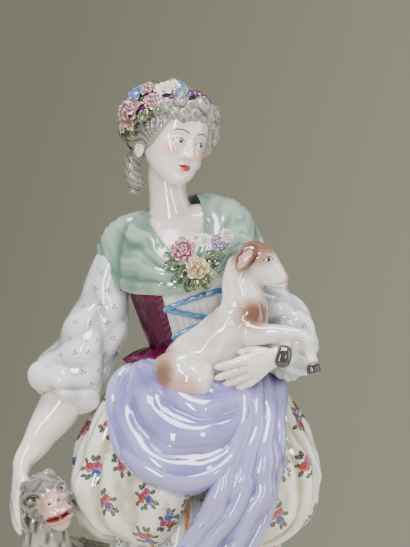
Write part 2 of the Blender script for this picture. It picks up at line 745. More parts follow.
def sprig_paint():
    """Cream porcelain strewn with small sprigs: three blooms, dark-edged leaves and thin tendrils."""
    paint = cloth_paint("overskirt_glaze", (0.83, 0.775, 0.69), (0.50, 0.44, 0.31), (0.89, 0.855, 0.80), 0.3, 38.0)
    place = paint.place()
    across, up = (
        part * 0.96 + (paint.noise(place, scale, 2.0) - 0.5) * 0.9
        for part, scale in zip(paint.stamp(), (900.0, 1100.0))
    )

    def polar(x, y):
        dx, dy = across - x, up - y
        return far_from(dx, dy), dy.math("ARCTAN2", dx)

    # Leaves: right, up, degrees turned, half length, half width
    for x, y, turn, long, wide in (
        (-4.8, -1.9, 215, 1.2, 0.85), (-4.2, 2.2, 150, 1.1, 0.8), (-1.5, 4.4, 120, 1.2, 0.85), (0.1, 5.2, 80, 1.2, 0.8),
        (3.9, 1.6, 20, 1.1, 0.8), (4.5, -3.0, 320, 1.2, 0.85), (3.2, -4.4, 290, 1.0, 0.7),
        (-0.6, -3.9, 255, 1.25, 0.9), (-2.6, -4.2, 225, 1.0, 0.7),
    ):
        dx, dy = across - x, up - y
        c, s = math.cos(rad(turn)), math.sin(rad(turn))
        along, side = dx * c + dy * s, dy * c - dx * s
        size = far_from(along / long, side / wide)
        rib = side.near(0.1, 0.07) * size.below(0.9, 0.1)
        paint.over(size.below(1.0, 0.12) * 0.92, (0.075, 0.115, 0.065))
        paint.over(size.band(0.95, 0.18, 0.12).math("MAXIMUM", rib) * 0.95, (0.012, 0.02, 0.018))
    # Tendrils: right, up, radius, and the headings between which each is drawn
    for x, y, radius, low, high in (
        (6.0, -0.2, 1.9, -2.6, -0.2), (-6.0, 0.6, 1.7, 0.5, 2.9), (2.6, 5.6, 1.6, -3.0, -0.8),
    ):
        far, heading = polar(x, y)
        line = far.band(radius, 0.09, 0.08) * heading.above(low, 0.1) * heading.below(high, 0.1)
        paint.over(line * 0.8, (0.05, 0.06, 0.05))

    swap = (paint.attribute("kind", 2) * 0.37).math("FRACT")
    first = paint.mix(swap.above(0.6, 0.01), (0.31, 0.025, 0.10), (0.30, 0.025, 0.012))
    second = paint.mix(swap.above(0.6, 0.01), (0.30, 0.03, 0.012), (0.30, 0.03, 0.12))
    third = paint.mix(swap.band(0.45, 0.12, 0.01), (0.018, 0.055, 0.28), (0.10, 0.018, 0.17))
    for x, y, size, petals, tint in (
        (-2.1, 0.0, 2.15, 5.0, first), (0.9, 1.9, 2.0, 4.0, second), (1.8, -1.6, 2.0, 5.0, third),
    ):
        far, heading = polar(x, y)
        lobed = far / ((heading * petals).math("COSINE") * 0.08 + 0.96)
        whorl_line = (heading + far * 2.2).math("SINE").above(0.2, 0.5) * far.band(0.6 * size, 0.2 * size, 0.3)
        bloom = paint.mix(whorl_line * 0.32, tint, (0.66, 0.40, 0.42))
        bloom = paint.mix(far.below(0.5, 0.3), bloom, paint.mix(0.55, tint, (0.02, 0.01, 0.02)))
        paint.over(lobed.below(size, 0.2) * 0.95, bloom)
        paint.over(lobed.band(size, 0.08, 0.12) * 0.55, paint.mix(0.6, tint, (0.02, 0.01, 0.03)))
    return paint.finish()


def striped_paint():
    """White cloth with gold bands that carry a crimson wavy line, edged by thin grey-blue lines."""
    paint = cloth_paint("petticoat_glaze", (0.77, 0.76, 0.76), (0.45, 0.45, 0.50), (0.85, 0.85, 0.84), 0.2)
    gap, beat_high = 17.0, 13.0  # between stripes, and between the small blooms above each other
    _, c, s = paint.split(paint.attribute("lay"))
    z = paint.split(paint.millimetres())[2]
    turn = s.math("ARCTAN2", c) * (STRIPES / (2 * pi))
    across = ((turn + 0.5).math("FRACT") - 0.5) * gap
    sway = (z * 0.9).math("SINE") * 0.55
    for share, colour in (
        (across.near(1.7, 0.2) * 0.85, (0.60, 0.40, 0.14)),
        (across.near(0.35, 0.15) * 0.5, (0.30, 0.16, 0.05)),
        ((across - sway).near(0.3, 0.16) * 0.9, (0.36, 0.03, 0.08)),
        (abs(across).band(2.8, 0.16, 0.12) * 0.75, (0.20, 0.21, 0.38)),
        (abs(across).band(3.5, 0.1, 0.1) * 0.6, (0.32, 0.22, 0.38)),
    ):
        paint.over(share, colour)
    away = (turn.math("FRACT") - 0.5) * gap
    beat = ((z / beat_high + turn.math("FLOOR") * 0.5).math("FRACT") - 0.5) * beat_high
    for dx, dz, size, tint in (
        (0.0, 0.9, 1.0, (0.60, 0.10, 0.2)), (1.1, -0.5, 0.8, (0.08, 0.15, 0.5)), (-1.3, -0.7, 0.8, (0.12, 0.2, 0.1)),
        (0.2, -2.0, 0.7, (0.12, 0.2, 0.1)),
    ):
        paint.over(far_from(away - dx, beat - dz).below(size, 0.25) * 0.9, tint)
    return paint.finish()


def base_paint():
    """A mottled grassy mound on a white foot with gilded scrolls."""
    paint = Paint("base_glaze", (0.24, 0.27, 0.12))
    place, hollow = paint.place(), paint.hollow()
    z = paint.split(paint.millimetres())[2]
    mottled = paint.noise(place, 90.0, 4.0, 0.6)
    paint.over(mottled.above(0.5, 0.14), (0.42, 0.33, 0.19))
    paint.over(paint.noise(place, 240.0, 3.0).above(0.6, 0.1) * 0.7, (0.07, 0.13, 0.05))
    stone = paint.mix(mottled.above(0.52, 0.16), (0.45, 0.40, 0.34), (0.20, 0.17, 0.14))
    paint.over(z.above(GROUND + 5.0, 5.0), stone)
    paint.over(hollow.above(0.3, 0.4) * 0.6, (0.06, 0.05, 0.035))
    white = paint.mix(hollow.above(0.1, 0.4) * 0.4, (0.80, 0.79, 0.76), (0.5, 0.48, 0.44))
    rims = z.band(BASE_EDGE - 0.6, 1.0, 0.3).math("MAXIMUM", z.band(1.6, 1.2, 0.3))
    scrolls = hollow.below(-0.55, 0.2) * z.below(BASE_EDGE, 1.0)
    foot = paint.mix(rims.math("MAXIMUM", scrolls), white, (0.55, 0.36, 0.10))
    paint.over(z.below(BASE_EDGE + 0.9, 0.5), foot)
    return paint.finish()


def bodice_paint():
    """A crimson bodice over a pale pleated front, and skin above the neckline."""
    paint = cloth_paint("bodice_glaze", (0.075, 0.003, 0.028), (0.022, 0.001, 0.010), (0.17, 0.018, 0.075), 0.7, 140.0)
    paint.inputs["Coat Weight"].default_value = 0.1
    paint.inputs["Specular IOR Level"].default_value = 0.3
    x, y, z = paint.split(paint.millimetres())
    left = x - (2.4 - 0.265 * (z - 216.0))
    right = x - (17.5 + 0.32 * (z - 216.0))
    opening = left.above(0.0, 0.25) * right.below(0.0, 0.25) * y.below(-3.0, 1.0)
    paint.over(opening, paint.mix(paint.hollow().above(0.2, 0.4) * 0.8, (0.72, 0.72, 0.74), (0.40, 0.42, 0.47)))
    paint.over(z.above(248.5, 0.8), SKIN)
    return paint.finish()


def sleeve_paint():
    """White muslin with clusters of three small painted dots."""
    paint = cloth_paint("sleeve_glaze", (0.70, 0.705, 0.715), (0.40, 0.42, 0.49), (0.82, 0.82, 0.82), 0.2)
    across, up = paint.stamp()
    first, second, third = (
        far_from(across - x, up - y).below(0.42, 0.1) for x, y in ((0.0, 0.7), (-0.7, -0.4), (0.74, -0.34))
    )
    paint.over(first.math("MAXIMUM", second).math("MAXIMUM", third) * 0.9, (0.06, 0.06, 0.05))
    return paint.finish()


def lamb_paint():
    """A white lamb with soft brown patches, a dark eye and dark hooves."""
    paint = Paint("lamb_glaze", (0.80, 0.77, 0.73))
    place, at = paint.place(), paint.millimetres()
    x, y, z = paint.split(at)
    ragged = (paint.noise(place, 260.0, 4.0, 0.8) - 0.5) * 5.0 + (paint.noise(place, 1400.0, 2.0) - 0.5) * 2.0
    paint.over(paint.hollow().above(0.2, 0.5) * 0.45, (0.62, 0.50, 0.43))
    warm, brown, rosy = (0.36, 0.17, 0.105), (0.13, 0.05, 0.03), (0.52, 0.26, 0.20)
    # Patches: x and z of the middle, half width, half height, softness, colour, strength
    for middle_x, middle_z, wide, tall, soft, colour, strength in (
        (36.0, 257.0, 11.0, 7.4, 0.35, warm, 0.9), (32.0, 253.5, 4.4, 7.0, 0.5, brown, 0.6),
        (38.5, 259.5, 7.0, 3.4, 0.6, brown, 0.65), (36.0, 229.4, 9.0, 7.6, 0.5, warm, 0.8),
        (37.0, 229.6, 5.0, 5.0, 0.6, brown, 0.9), (19.8, 226.0, 4.6, 5.0, 0.6, rosy, 0.5),
        (-3.0, 207.0, 5.5, 8.0, 0.5, warm, 0.75), (5.0, 197.5, 8.0, 6.0, 0.5, rosy, 0.8),
        (14.0, 218.0, 6.0, 3.0, 0.6, rosy, 0.35), (-1.0, 213.0, 4.0, 5.0, 0.6, rosy, 0.5),
        (-2.8, 203.0, 4.0, 6.0, 0.6, brown, 0.7), (30.0, 216.0, 5.0, 3.5, 0.6, rosy, 0.35),
        (52.5, 245.0, 2.6, 3.0, 0.5, (0.72, 0.36, 0.30), 0.8),
    ):
        far = far_from((x - middle_x) / wide, (z - middle_z) / tall) + ragged * (0.5 / wide)
        paint.over(far.below(1.0, soft) * strength, colour)
    right, down = 36.6 - x, 259.6 - z
    down_ear, over_ear = right * 0.55 + down * 0.835, right * 0.835 - down * 0.55
    ear = y.below(-34.2, 0.4) * over_ear.near(4.2, 0.4) * down_ear.above(-1.0, 0.4) * down_ear.below(14.5, 0.4)
    inside_ear = far_from((down_ear - 7.4) / 5.6, over_ear / 1.9).below(0.95, 0.25)
    mouth = (z - (242.5 + 0.27 * (x - 46.5))).near(0.22, 0.16) * x.above(46.6, 0.4) * y.below(-26.0, 1.0)
    nostril = far_from(x - 52.8, z - 246.3).below(0.5, 0.2)
    across, up, seen = x - LAMB_EYE[0], z - LAMB_EYE[1], y.below(-29.0, 1.0)
    lid = up - (1.25 - 0.32 * across**2.0 + 0.1 * across)
    under = up - (-0.95 + 0.26 * across**2.0 + 0.1 * across)
    inside = lid.below(0.0, 0.1) * under.above(0.0, 0.1) * seen
    outline = lid.near(0.24, 0.1).math("MAXIMUM", under.near(0.14, 0.08))
    for share, colour in (
        (ear * 0.9, brown),
        (inside_ear * ear * 0.9, (0.60, 0.38, 0.31)),
        (mouth * 0.9, (0.32, 0.07, 0.05)),
        (nostril * 0.85, (0.2, 0.04, 0.03)),
        (inside, (0.62, 0.60, 0.58)),
        (far_from(across - 0.2, up - 0.15).below(0.85, 0.1) * inside, (0.03, 0.025, 0.03)),
        (outline * across.near(2.3, 0.15) * seen, (0.05, 0.035, 0.03)),
    ):
        paint.over(share, colour)
    for hoof, reach in (((62.6, -40.3, 204.6), 4.4), ((49.2, -41.2, 210.6), 5.8)):
        away = paint.node("ShaderNodeVectorMath", {"operation": "DISTANCE"}, at, hoof, out=1)
        paint.over(away.below(reach, 0.3) * y.below(-36.0, 0.5), (0.045, 0.04, 0.035))
    return paint.finish()


# Base
def base():
    profile = [
        [0, 0], [0.6, 0], [1, 0], [1, 4], [0.93, 8], [0.97, BASE_EDGE],
        [0.88, GROUND - 1], [0.5, GROUND - 0.4], [0, GROUND],
    ]

    def shape(a, r, z, along):
        wave = (0.022 * np.cos(9 * a) + 0.012 * np.cos(5 * a + 1)) * ease(r, 0.6, 0.9)
        mound = 0.7 * np.sin(3 * a) * r * ease(z, BASE_EDGE, GROUND) * (1 - ease(r, 0.7, 0.9))
        z = np.clip(z, 0, None)
        at = points_at((r + wave) * np.cos(a) * BASE_WIDTH / 2, (r + wave) * np.sin(a) * BASE_DEPTH / 2, z + mound)
        top = ease(z, BASE_EDGE - 1, GROUND - 1) * ease(r, 0.02, 0.1)
        at[:, 2] += top * (0.5 * rough(at, 11) + 0.25 * rough(at, 4))
        scroll = ridge(27 * a / (2 * pi) + 0.25 * np.sin(z / 2)) - 0.5
        leaves = 0.9 * bell(z, 6, 4.5) * scroll * ease(r, 0.7, 0.9)
        return at + points_at(np.cos(a), np.sin(a), 0 * a) * leaves[:, None]

    return turned(profile, 180, 90, shape)


def rock():
    profile = [[0, 74], [10, 74], [20, 71], [23, 62], [24, 50], [27, 38], [30, 26], [31, 17], [0, 16]]
    x, y, heading = -40, 14, rad(61)

    def shape(a, r, z, along):
        craggy = 1 + 0.1 * np.sin(3 * a + z / 9) + 0.07 * np.cos(7 * a - z / 7)
        long, wide = 1.32 * r * craggy * np.cos(a), 0.86 * r * craggy * np.sin(a)
        c, s = math.cos(heading), math.sin(heading)
        at = points_at(x + long * c - wide * s, y + long * s + wide * c, z)
        return at + unit(at - vec(x, y, 45)) * (1.6 * np.abs(rough(at, 9)) + 0.5 * rough(at, 3))[:, None]

    return turned(profile, 90, 64, shape)


# Skirts
skirt_radius = through([
    [100, 43], [130, 48], [146, 54], [WIDEST, PUFF], [173, 51], [188, 44], [200, 35], [208.5, 25], [WAIST, 17],
])
GATHER = rad(-72)  # where the apron is caught up, right of the middle of her front
# [degrees round, degrees it leans towards the waist, width in degrees, depth, height where it starts]
CREASES = [
    [-146, 14, 4, 5, 204], [-164, -8, 3, 3, 206], [-178, 4, 3, 3.4, 190], [-121, 16, 5, 1.6, 170],
    [-101, -20, 4, 1.4, 158], [-36, 6, 3, 4.5, 204], [-22, -7, 2.4, 3.6, 196], [-9, 6, 2.6, 4.4, 208],
    [12, -5, 3, 3.4, 190], [34, 8, 3.4, 4.4, 204], [58, -4, 3, 5.4, 206], [78, 6, 3, 3.2, 186],
    [97, -6, 4, 4.6, 208], [121, 5, 3, 5, 200], [143, -7, 3, 3.2, 190], [165, 5, 3, 4, 206],
]
# Painted sprigs seen from the front: [right, down, degrees turned], on a chart of small squares
CHART_SQUARE, CHART_MIDDLE, CHART_GROUND = 0.44, 170, 790
SPRIGS = [
    [108, 390, 30], [113, 426, 100], [93, 468, -20], [124, 458, 60], [104, 502, 0], [144, 492, 10], [190, 504, 70],
    [146, 536, -25], [278, 390, -60], [281, 462, 80], [312, 462, 25], [278, 514, -10], [306, 526, -50],
    [170, 520, 140], [84, 430, 50], [236, 520, 0], [300, 420, 120], [128, 395, 200], [262, 500, 160],
]


def fold(x):
    """Round folds with narrow creases between them, about the run of the cloth."""
    return ridge(x) - 0.6


def gathers(t, a, count, twist, depth):
    """Folds of cloth round a limb: count of them, twisting along it."""
    return depth * (ridge(count * a / (2 * pi) + twist * t + 0.22 * np.sin(2 * a + 7 * t)) - 0.62)


def overskirt():
    profile = [
        [0, 214], [16, 213.5], [25, 209], [35, 200.5], [44, 188], [51, 173], [PUFF, WIDEST + 4], [PUFF - 0.5, 146],
        [49.5, 136], [42, TUCK], [34, 131], [28, 138], [0, 141],
    ]

    def shape(a, r, z, along):
        outer = ease(r, 12, 40) * (1 - ease(along, 0.8, 0.88))
        low = ease(WAIST - z, 6, 60)
        beside = np.clip(np.abs(turn_from(a, rad(-95))) / rad(50), 0.12, 1)
        smooth = points_at(r * np.cos(a), r * np.sin(a), z)
        out = outer * low * (3.6 * rough(smooth, 27, 5.0) + 1.5 * rough(smooth, 12, 2.0) + 0.4 * rough(smooth, 5, 9.0))
        drift = 0.2 * rough(smooth * vec(0.3, 0.3, 1), 24, 7.0)
        for at, lean, width, deep, start in CREASES:
            off = np.abs(turn_from(a + drift, np.radians(at + lean * (1 - low))))
            crease = 1.25 * np.exp(-off / rad(1.15 * width)) - 0.35 * bell(off, rad(2.4 * width), rad(1.2 * width))
            out -= outer * deep * crease * ease(start - z, -8, 14)
        tucks = 1.1 * np.exp(-np.abs(np.sin(7 * a + 0.8 + 3 * drift)) / 0.2) * ease(142 - z, 0, 12)
        out -= outer * tucks * beside
        edge = ease(194 - z, 0, 66) * ease(r, 0, 30)
        off = turn_from(a, GATHER)
        gap = 37 * bell(off, 0, np.where(off < 0, rad(25), rad(15)))
        lift = edge * (gap + 2.5 * np.cos(5 * a + 0.6))
        return points_at(SKIRT_X + (r + out) * np.cos(a), SKIRT_Y + (r + out) * np.sin(a) * SKIRT_DEEP, z + lift)

    mesh = turned(profile, 310, 140, shape)
    points = coords(mesh)
    spots = []
    for right, down, turn in SPRIGS:
        x, z = (right - CHART_MIDDLE) * CHART_SQUARE, GROUND + (CHART_GROUND - down) * CHART_SQUARE
        spots.append([front_of(points, x, z), turn])
    for row, z in enumerate((188, 166, 144)):  # round her back
        radius = float(skirt_radius(z)) + 1
        for i in range(9 + row):
            a = rad(lerp(0, 178, (i + 0.5 * (row % 2)) / (8.5 + row)))
            high = z + 4 * math.sin(3 * i + 2 * row)
            goal = vec(SKIRT_X + radius * math.cos(a), SKIRT_Y + SKIRT_DEEP * radius * math.sin(a), high)
            spots.append([points[nearest_to(points, goal)], 70 * math.sin(5 * i + row)])
    return stamps(mesh, spots)


def petticoat():
    profile = [
        [0, 197], [20, 196], [31, 184], [35, 165], [36, 140], [39, 110], [44, 75], [48.5, 42], [50, HEM + 1],
        [46, HEM - 3], [0, HEM - 5],
    ]

    def shape(a, r, z, along):
        low = ease(150 - z, 0, 110)
        loose = a + 0.05 * np.sin(z / 17 + 3 * a) + 0.03 * np.sin(z / 7 - 5 * a)
        flutes = ease(r, 10, 25) * lerp(0.8, 2.6, low) * (np.cos(FLUTES * loose) + 0.35 * np.cos(5 * a + z / 30))
        front = bell(turn_from(a, rad(-90)), 0, rad(50))
        hem = 9 * front * ease(50 - z, 0, 24) * ease(r, 0, 40)
        out = (r + flutes) * (1 - 0.1 * front * low)
        return points_at(SKIRT_X + out * np.cos(a), 2 + out * np.sin(a), z + hem)

    return turned(profile, 250, 76, shape)


def on_skirt(x, z, lift, radius):
    """A point in front of the skirt at x and z, lifted off it."""
    reach = np.maximum(radius**2 - (x - SKIRT_X) ** 2, 30)
    y = SKIRT_Y - SKIRT_DEEP * np.sqrt(reach)
    return points_at(x, y, z) + unit(points_at(x - SKIRT_X, y - SKIRT_Y, 10 + 0 * x)) * lift[:, None]


def rim(u, v, width_u=0.03, width_v=0.03):
    """1 inside a cloth and 0 at its edges, rounded like a thick hem."""
    near = np.minimum(np.minimum(u, 1 - u) / width_u, np.minimum(v, 1 - v) / width_v)
    return domed(1 - np.clip(near, 0, 1))


def apron_swag():
    """Caught up on her left: every fold hangs from her right hip in a deeper curve than the one above it."""
    upper = spline([[-9, 207.5], [1, 205.5], [13, 203.5], [26, 203], [38, 204]])
    lower = spline([
        [-15, 205], [-20.6, 197.5], [-22.6, 187], [-22, 178.5], [-19, 168.8], [-13.2, 161], [-4.4, 156], [5.3, 153.6],
        [13.6, 155], [21, 159.6], [27, 166.5], [32, 174],
    ])

    def surface(u, v):
        flat = points_at(60 * u, 40 * v, 0 * u)
        full = np.sin(pi * np.clip(u, 0.02, 0.98)) ** 0.5
        run = v + 0.06 * np.sin(2 * pi * u) + 0.1 * rough(flat, 18, 4.0) + 0.035 * rough(flat, 7, 1.0)
        broad = 4.4 * ridge(2.9 * run + 0.1) ** 0.85 * lerp(0.5, 1, ease(v, 0.05, 0.5))
        folds = full * (broad + 0.55 * ridge(6.6 * run + 0.3)) + 2.1 * rough(flat, 14, 6.0) * ease(v, 0, 0.3)
        hem = 1.8 * bell(v, 0.94, 0.05)
        x, z = lerp(upper(u), lower(u), v[:, None] ** 0.9).T
        return on_skirt(x, z, -1.5 + (2.8 + folds + hem) * rim(u, v), skirt_radius(z))

    return cloth(surface, 130, 110)


def apron_fall():
    left = spline([[30, 200], [28, 180], [22.9, 161], [15, 145], [7, 131], [1, 117], [-1, 104]])
    right = spline([[41, 203], [46.5, 189], [46.6, 175], [45, 161], [43.4, 146], [35, 131], [24, 113]])
    hanging = through([[100, 42], [130, 50], [150, 55], [160, 55], [173, 51.5], [188, 44.5], [204, 31]])

    def surface(u, v):
        flat = points_at(30 * u, 90 * v, 0 * u)
        run = u + 0.13 * rough(flat, 19, 2.0) + 0.05 * rough(flat, 8, 5.0)
        pleats = lerp(2.2, 4.4, ease(v, 0, 0.7)) * ridge(3.2 * run + 0.15) ** 0.85
        pleats += 0.65 * ridge(7.4 * run + 0.2) + 1.2 * rough(flat, 13, 3.0)
        ruffle = 1.8 * bell(u, 0.96, 0.09) * np.sin(15 * v + 1) + 1.2 * bell(u, 0.03, 0.07) * np.sin(13 * v)
        x, z = lerp(left(v), right(v), u[:, None]).T
        lift = -1.5 + (3.0 + pleats + 0.3 * ruffle) * rim(u, v, 0.05, 0.02)
        return on_skirt(x + ruffle * 0.5, z, lift, hanging(z))

    return cloth(surface, 96, 116)


# Her body
left_edge = through([[200, 4.8], [216, 2.4], [235.6, -2.8], [245, -5.5], [262, -8]])  # of the bodice's laced opening
right_edge = through([[200, 14], [216, 17.5], [235, 23.6], [262, 27]])


def torso():
    stations = [
        [9.5, 0, 196, 19, 16], [8.5, 0, 207, 17, 14], [7.5, -1, 216, 16.8, 13.2], [6, -2, 230, 20.5, 15],
        [5, -3, 244, 24, 16], [3.5, -1, 256, 21, 13], [2, 1, 266, 13, 10.5], [1, 1, 274, 8, 8],
    ]

    def bust(t, a):
        return 3.4 * bell(t, 0.57, 0.11) * sum(bell(turn_from(a, rad(side)), 0, 0.42) for side in (-62, -118))

    mesh = limb(stations, 160, 100, turn=12, end=0.04, relief=bust)
    at = coords(mesh)
    x, y, z = at.T
    left, right = left_edge(z), right_edge(z)
    between = ease(x, left, left + 1.5) * (1 - ease(x, right - 1.5, right)) * ease(-y, 2, 8) * ease(249 - z, 0, 3)
    pleats = 0.4 * (ridge((x - left) / 3.1 + 0.12 * np.sin(z / 6 + x)) - 0.75)
    at[:, 1] -= between * (pleats - 0.5)
    puckers = 0.22 * rough(at, 3.5) * (1 - between) * ease(254 - z, 0, 8)
    move(mesh, at + unit(at - points_at(0 * x + 6, 0 * y, z)) * puckers[:, None])
    return mesh


def bodice_edges(body):
    """Ruched borders of the bodice's laced opening."""
    points = coords(body)

    def ruched(t, a):
        return 0.5 * fold(12 * t + 0.3 * np.sin(2 * a) + 0.2 * np.sin(21 * t))

    forms = []
    for edge, side in ((left_edge, -1), (right_edge, 1)):
        stations = []
        for z in np.linspace(203, 241, 9):
            x = float(edge(z)) + side * 1.4
            stations.append([x, front_of(points, x, z)[1] - 0.1, z, 1.9, 1.2])
        forms.append(limb(stations, 20, 110, relief=ruched))
    return forms


EYELETS = [[-2.0, 231.6], [1.6, 219.4], [23.2, 240.2], [21.6, 227.4], [15.4, 225.4]]


def laces(body):
    """Ribbon laces crossed over the pleated front."""
    points = coords(body)
    forms = []
    for start, end, bow in ((0, 2, 0.5), (0, 3, -0.4), (1, 4, 0.4)):
        stations = []
        for t in np.linspace(0, 1, 7):
            x, z = lerp(np.array(EYELETS[start]), np.array(EYELETS[end]), t) + vec(0, bow * math.sin(pi * t))
            stations.append([x, front_of(points, x, z)[1] - 0.75, z, 1.15, 0.6])
        forms.append(limb(stations, 20, 60, (0, 0, 1), 0.05, relief=lambda t, a: 0.1 * np.sin(31 * t + a)))
    for x, z in EYELETS[:2]:
        forms.append(ball((x, front_of(points, x, z)[1] - 0.7, z), (1.3, 0.9, 1.5), 16, 12))
    return forms


def shoulders_and_neck():
    yoke = [[-21, 2, 255.5, 7.5], [-9, 1, 262, 9.4], [3, 1, 266, 10], [16, 1, 268.5, 10], [28, 2, 266.5, 8.5]]
    neck = [
        [4.5, -1, 244, 22, 15.5], [4, 0, 252, 20, 14.6], [3, 1, 259, 17, 13.2], [2.2, 1.4, 266, 13.4, 11.4],
        [0.8, 1.8, 273, 10.4, 9.6], [-0.8, 2.4, 282, 8.4, 8.4], [-1.4, 3, 292, 8.5, 8.4], [-1.4, 3.4, 300, 8, 8],
    ]

    def collarbones(t, a):
        side = np.minimum(np.abs(turn_from(a, rad(-58))), np.abs(turn_from(a, rad(-122))))
        return 0.5 * bell(side, 0, 0.4) * bell(t, 0.36, 0.035) + 0.22 * np.sin(3 * a + 7 * t) * ease(t, 0.4, 0.55)

    return [limb(yoke, 40, 36, across=(0, 0, 1)), limb(neck, 90, 90, end=0.04, relief=collarbones)]


def peplum():
    def surface(u, v):
        a = np.radians(lerp(-112, -205, u))
        flare = lerp(14, 29, v) + 0.9 * np.cos(9 * pi * u) * v
        return points_at(8.5 + flare * np.cos(a), flare * 0.86 * np.sin(a), WAIST + 3.5 - 6 * v * v)

    return cloth(surface, 80, 24, 2.4)


NECKLINE = [
    [7, -21, 252], [-2, -18, 260], [-7.5, -11, 268], [-8.8, -1, 274], [-5.5, 7.5, 277],
    [1, 11, 279], [9, 8, 282], [12, -1, 282], [14.5, -10, 274], [13.5, -18, 261],
]
SHAWL_EDGE = [
    [6, -25, 239], [-9, -22, 238], [-22, -12, 241], [-32, 0, 257], [-23, 13, 251],
    [3, 18, 236], [26, 14, 256], [39, 2, 263], [36, -11, 256], [22, -22, 248],
]


def shawl():
    inside, outside = spline(NECKLINE, True), spline(SHAWL_EDGE, True)

    def shape(u, a):
        c = (1 + np.cos(a)) / 2
        lie = lerp(inside(u), outside(u), c[:, None])
        up = unit(unit(points_at(lie[:, 0] - 3, lie[:, 1] * 0.8, 0 * u)) * 0.7 + vec(0, 0, 0.8))
        swell = lerp(2.2, 5.5, bell(u, 0.72, 0.12)) + 2.2 * bell(u, 0.3, 0.06)
        spread = turn_from(2 * pi * u, 0) / pi
        warp = 0.3 * rough(lie, 17, 3.0) + 0.07 * rough(lie, 6, 8.0)
        sweep = c * (1.25 + 0.35 * np.cos(2 * pi * u)) + 0.75 * np.abs(spread) + warp
        depth = np.clip(0.55 + 0.9 * rough(lie, 12, 21.0), 0.15, 1.3)
        folds = 1.7 * depth * (ridge(1.9 * sweep + 0.25) ** 0.8 - 0.55) + 0.45 * fold(5.3 * sweep + 0.3)
        folds += 0.9 * rough(lie, 10, 1.0)
        lap = 0.2 + 0.09 * (1 - c)  # where two folds meet on her right shoulder
        folds -= 2.0 * np.exp(-np.abs(u - lap) / 0.011) * ease(c, 0.15, 0.4)
        hem = 0.4 * np.sin(34 * pi * u) * bell(c, 0.95, 0.12)
        rise = swell * np.sin(pi * c) + np.sin(a) * 2.2 + (folds + hem) * np.clip(np.sin(a), 0, 1) ** 0.5
        return lie + up * rise[:, None]

    return ring(76, 280, shape)


# Arms
def hand(wrist, direction, palm, thumb_side, curl, spread, full, arm):
    """A palm, four fingers that bend towards the side the palm faces, and a thumb, in one skin with the forearm."""
    wrist = vec(*wrist)
    along = unit(vec(*direction))
    facing = unit(vec(*palm) - along * (vec(*palm) @ along))
    side = np.cross(along, facing) * thumb_side

    def at(d, s, f):
        return wrist + along * d + side * s + facing * f

    def knuckles(t, a):
        return 0.25 * (bell(t, 0.3, 0.07) + 0.8 * bell(t, 0.58, 0.05) + 0.5 * bell(t, 0.8, 0.04))

    broad = full**0.5
    back = [
        [*at(-5, 0, 0), 4.4, 3.8], [*at(0, 0.1, 0), 4.5, 3.5], [*at(5, 0.2, 0), 5.6, 3.1],
        [*at(9.5, 0, 0), 6.6 * broad, 2.7], [*at(13, -0.3, 0.2), 6.2 * broad, 2.2],
    ]
    heel = [[*at(0, 2.6, 0.4), 2.6], [*at(4.5, 4.6, 1), 3.0], [*at(8, 6, 1.8), 2.0]]
    forms = [limb(back, 36, 32, across=side), limb(heel, 20, 18)]
    for finger, share in enumerate([0.44, 0.5, 0.46, 0.37]):
        offset = (1.5 - finger) * spread
        points = [at(8, offset * 0.7, 0), at(12, offset * 0.96, 0)]
        for joint, part in enumerate([0.42, 0.32, 0.26]):
            bend = rad((curl + 3 * math.cos(2.1 * finger)) * (joint + 0.6))
            step = along * math.cos(bend) + facing * math.sin(bend) + side * offset * 0.025
            points.append(points[-1] + step * part * share * HAND)
        stations = [[*p, full * w, full * w * 0.94] for p, w in zip(points, [2.2, 2.1, 1.8, 1.6, 1.05])]
        forms.append(limb(stations, 20, 32, across=side, end=0.14, relief=knuckles))
    thumb = [[1, 3.2, 0.6, 2.2], [5, 6, 1.8, 2.1], [9, 7.4, 3, 1.7], [13, 7.8, 4, 1.15]]
    forms.append(limb([[*at(d, s, f), r] for d, s, f, r in thumb], 20, 26, across=side, end=0.14))
    return [fused([arm, *forms], 0.5, 2)]


def right_sleeve():
    stations = [
        [-17, 2, 257, 7.5], [-23.5, 2, 252, 9.5], [-27.5, 1, 242, 10.5], [-29.5, 0, 231, 12], [-34, -2, 220, 13.4],
        [-39.5, -3.5, 210, 14.3], [-45, -5, 201, 14.6], [-48, -6, 194, 12],
    ]

    def creases(t, a):
        soft = 0.8 * np.sin(2 * a + 16 * t) + 0.5 * np.sin(3 * a - 23 * t)
        deep = gathers(t, a, 3, 2.6, 1.7) + gathers(t, a, 6, -3.2, 0.7)
        return (soft + deep) * ease(t, 0.2, 0.55) + gathers(t, a, 5, 1, 0.5) * (1 - ease(t, 0.1, 0.4))

    mesh = limb(stations, 96, 110, relief=creases)
    points = coords(mesh)
    spots = []
    for row, z in enumerate(np.arange(248, 192, -7.2)):
        for x in np.arange(-68, -8, 7.4):
            shifted = x + 3.7 * (row % 2) + 0.8 * math.sin(2.3 * row + x)
            if np.min(np.hypot(points[:, 0] - shifted, points[:, 2] - z)) < 1.5:
                front = front_of(points, shifted, z)
                spots += [[front, 30 * math.sin(3 * x + row)], [front * vec(1, -1, 1), 0]]
    return stamps(mesh, spots)


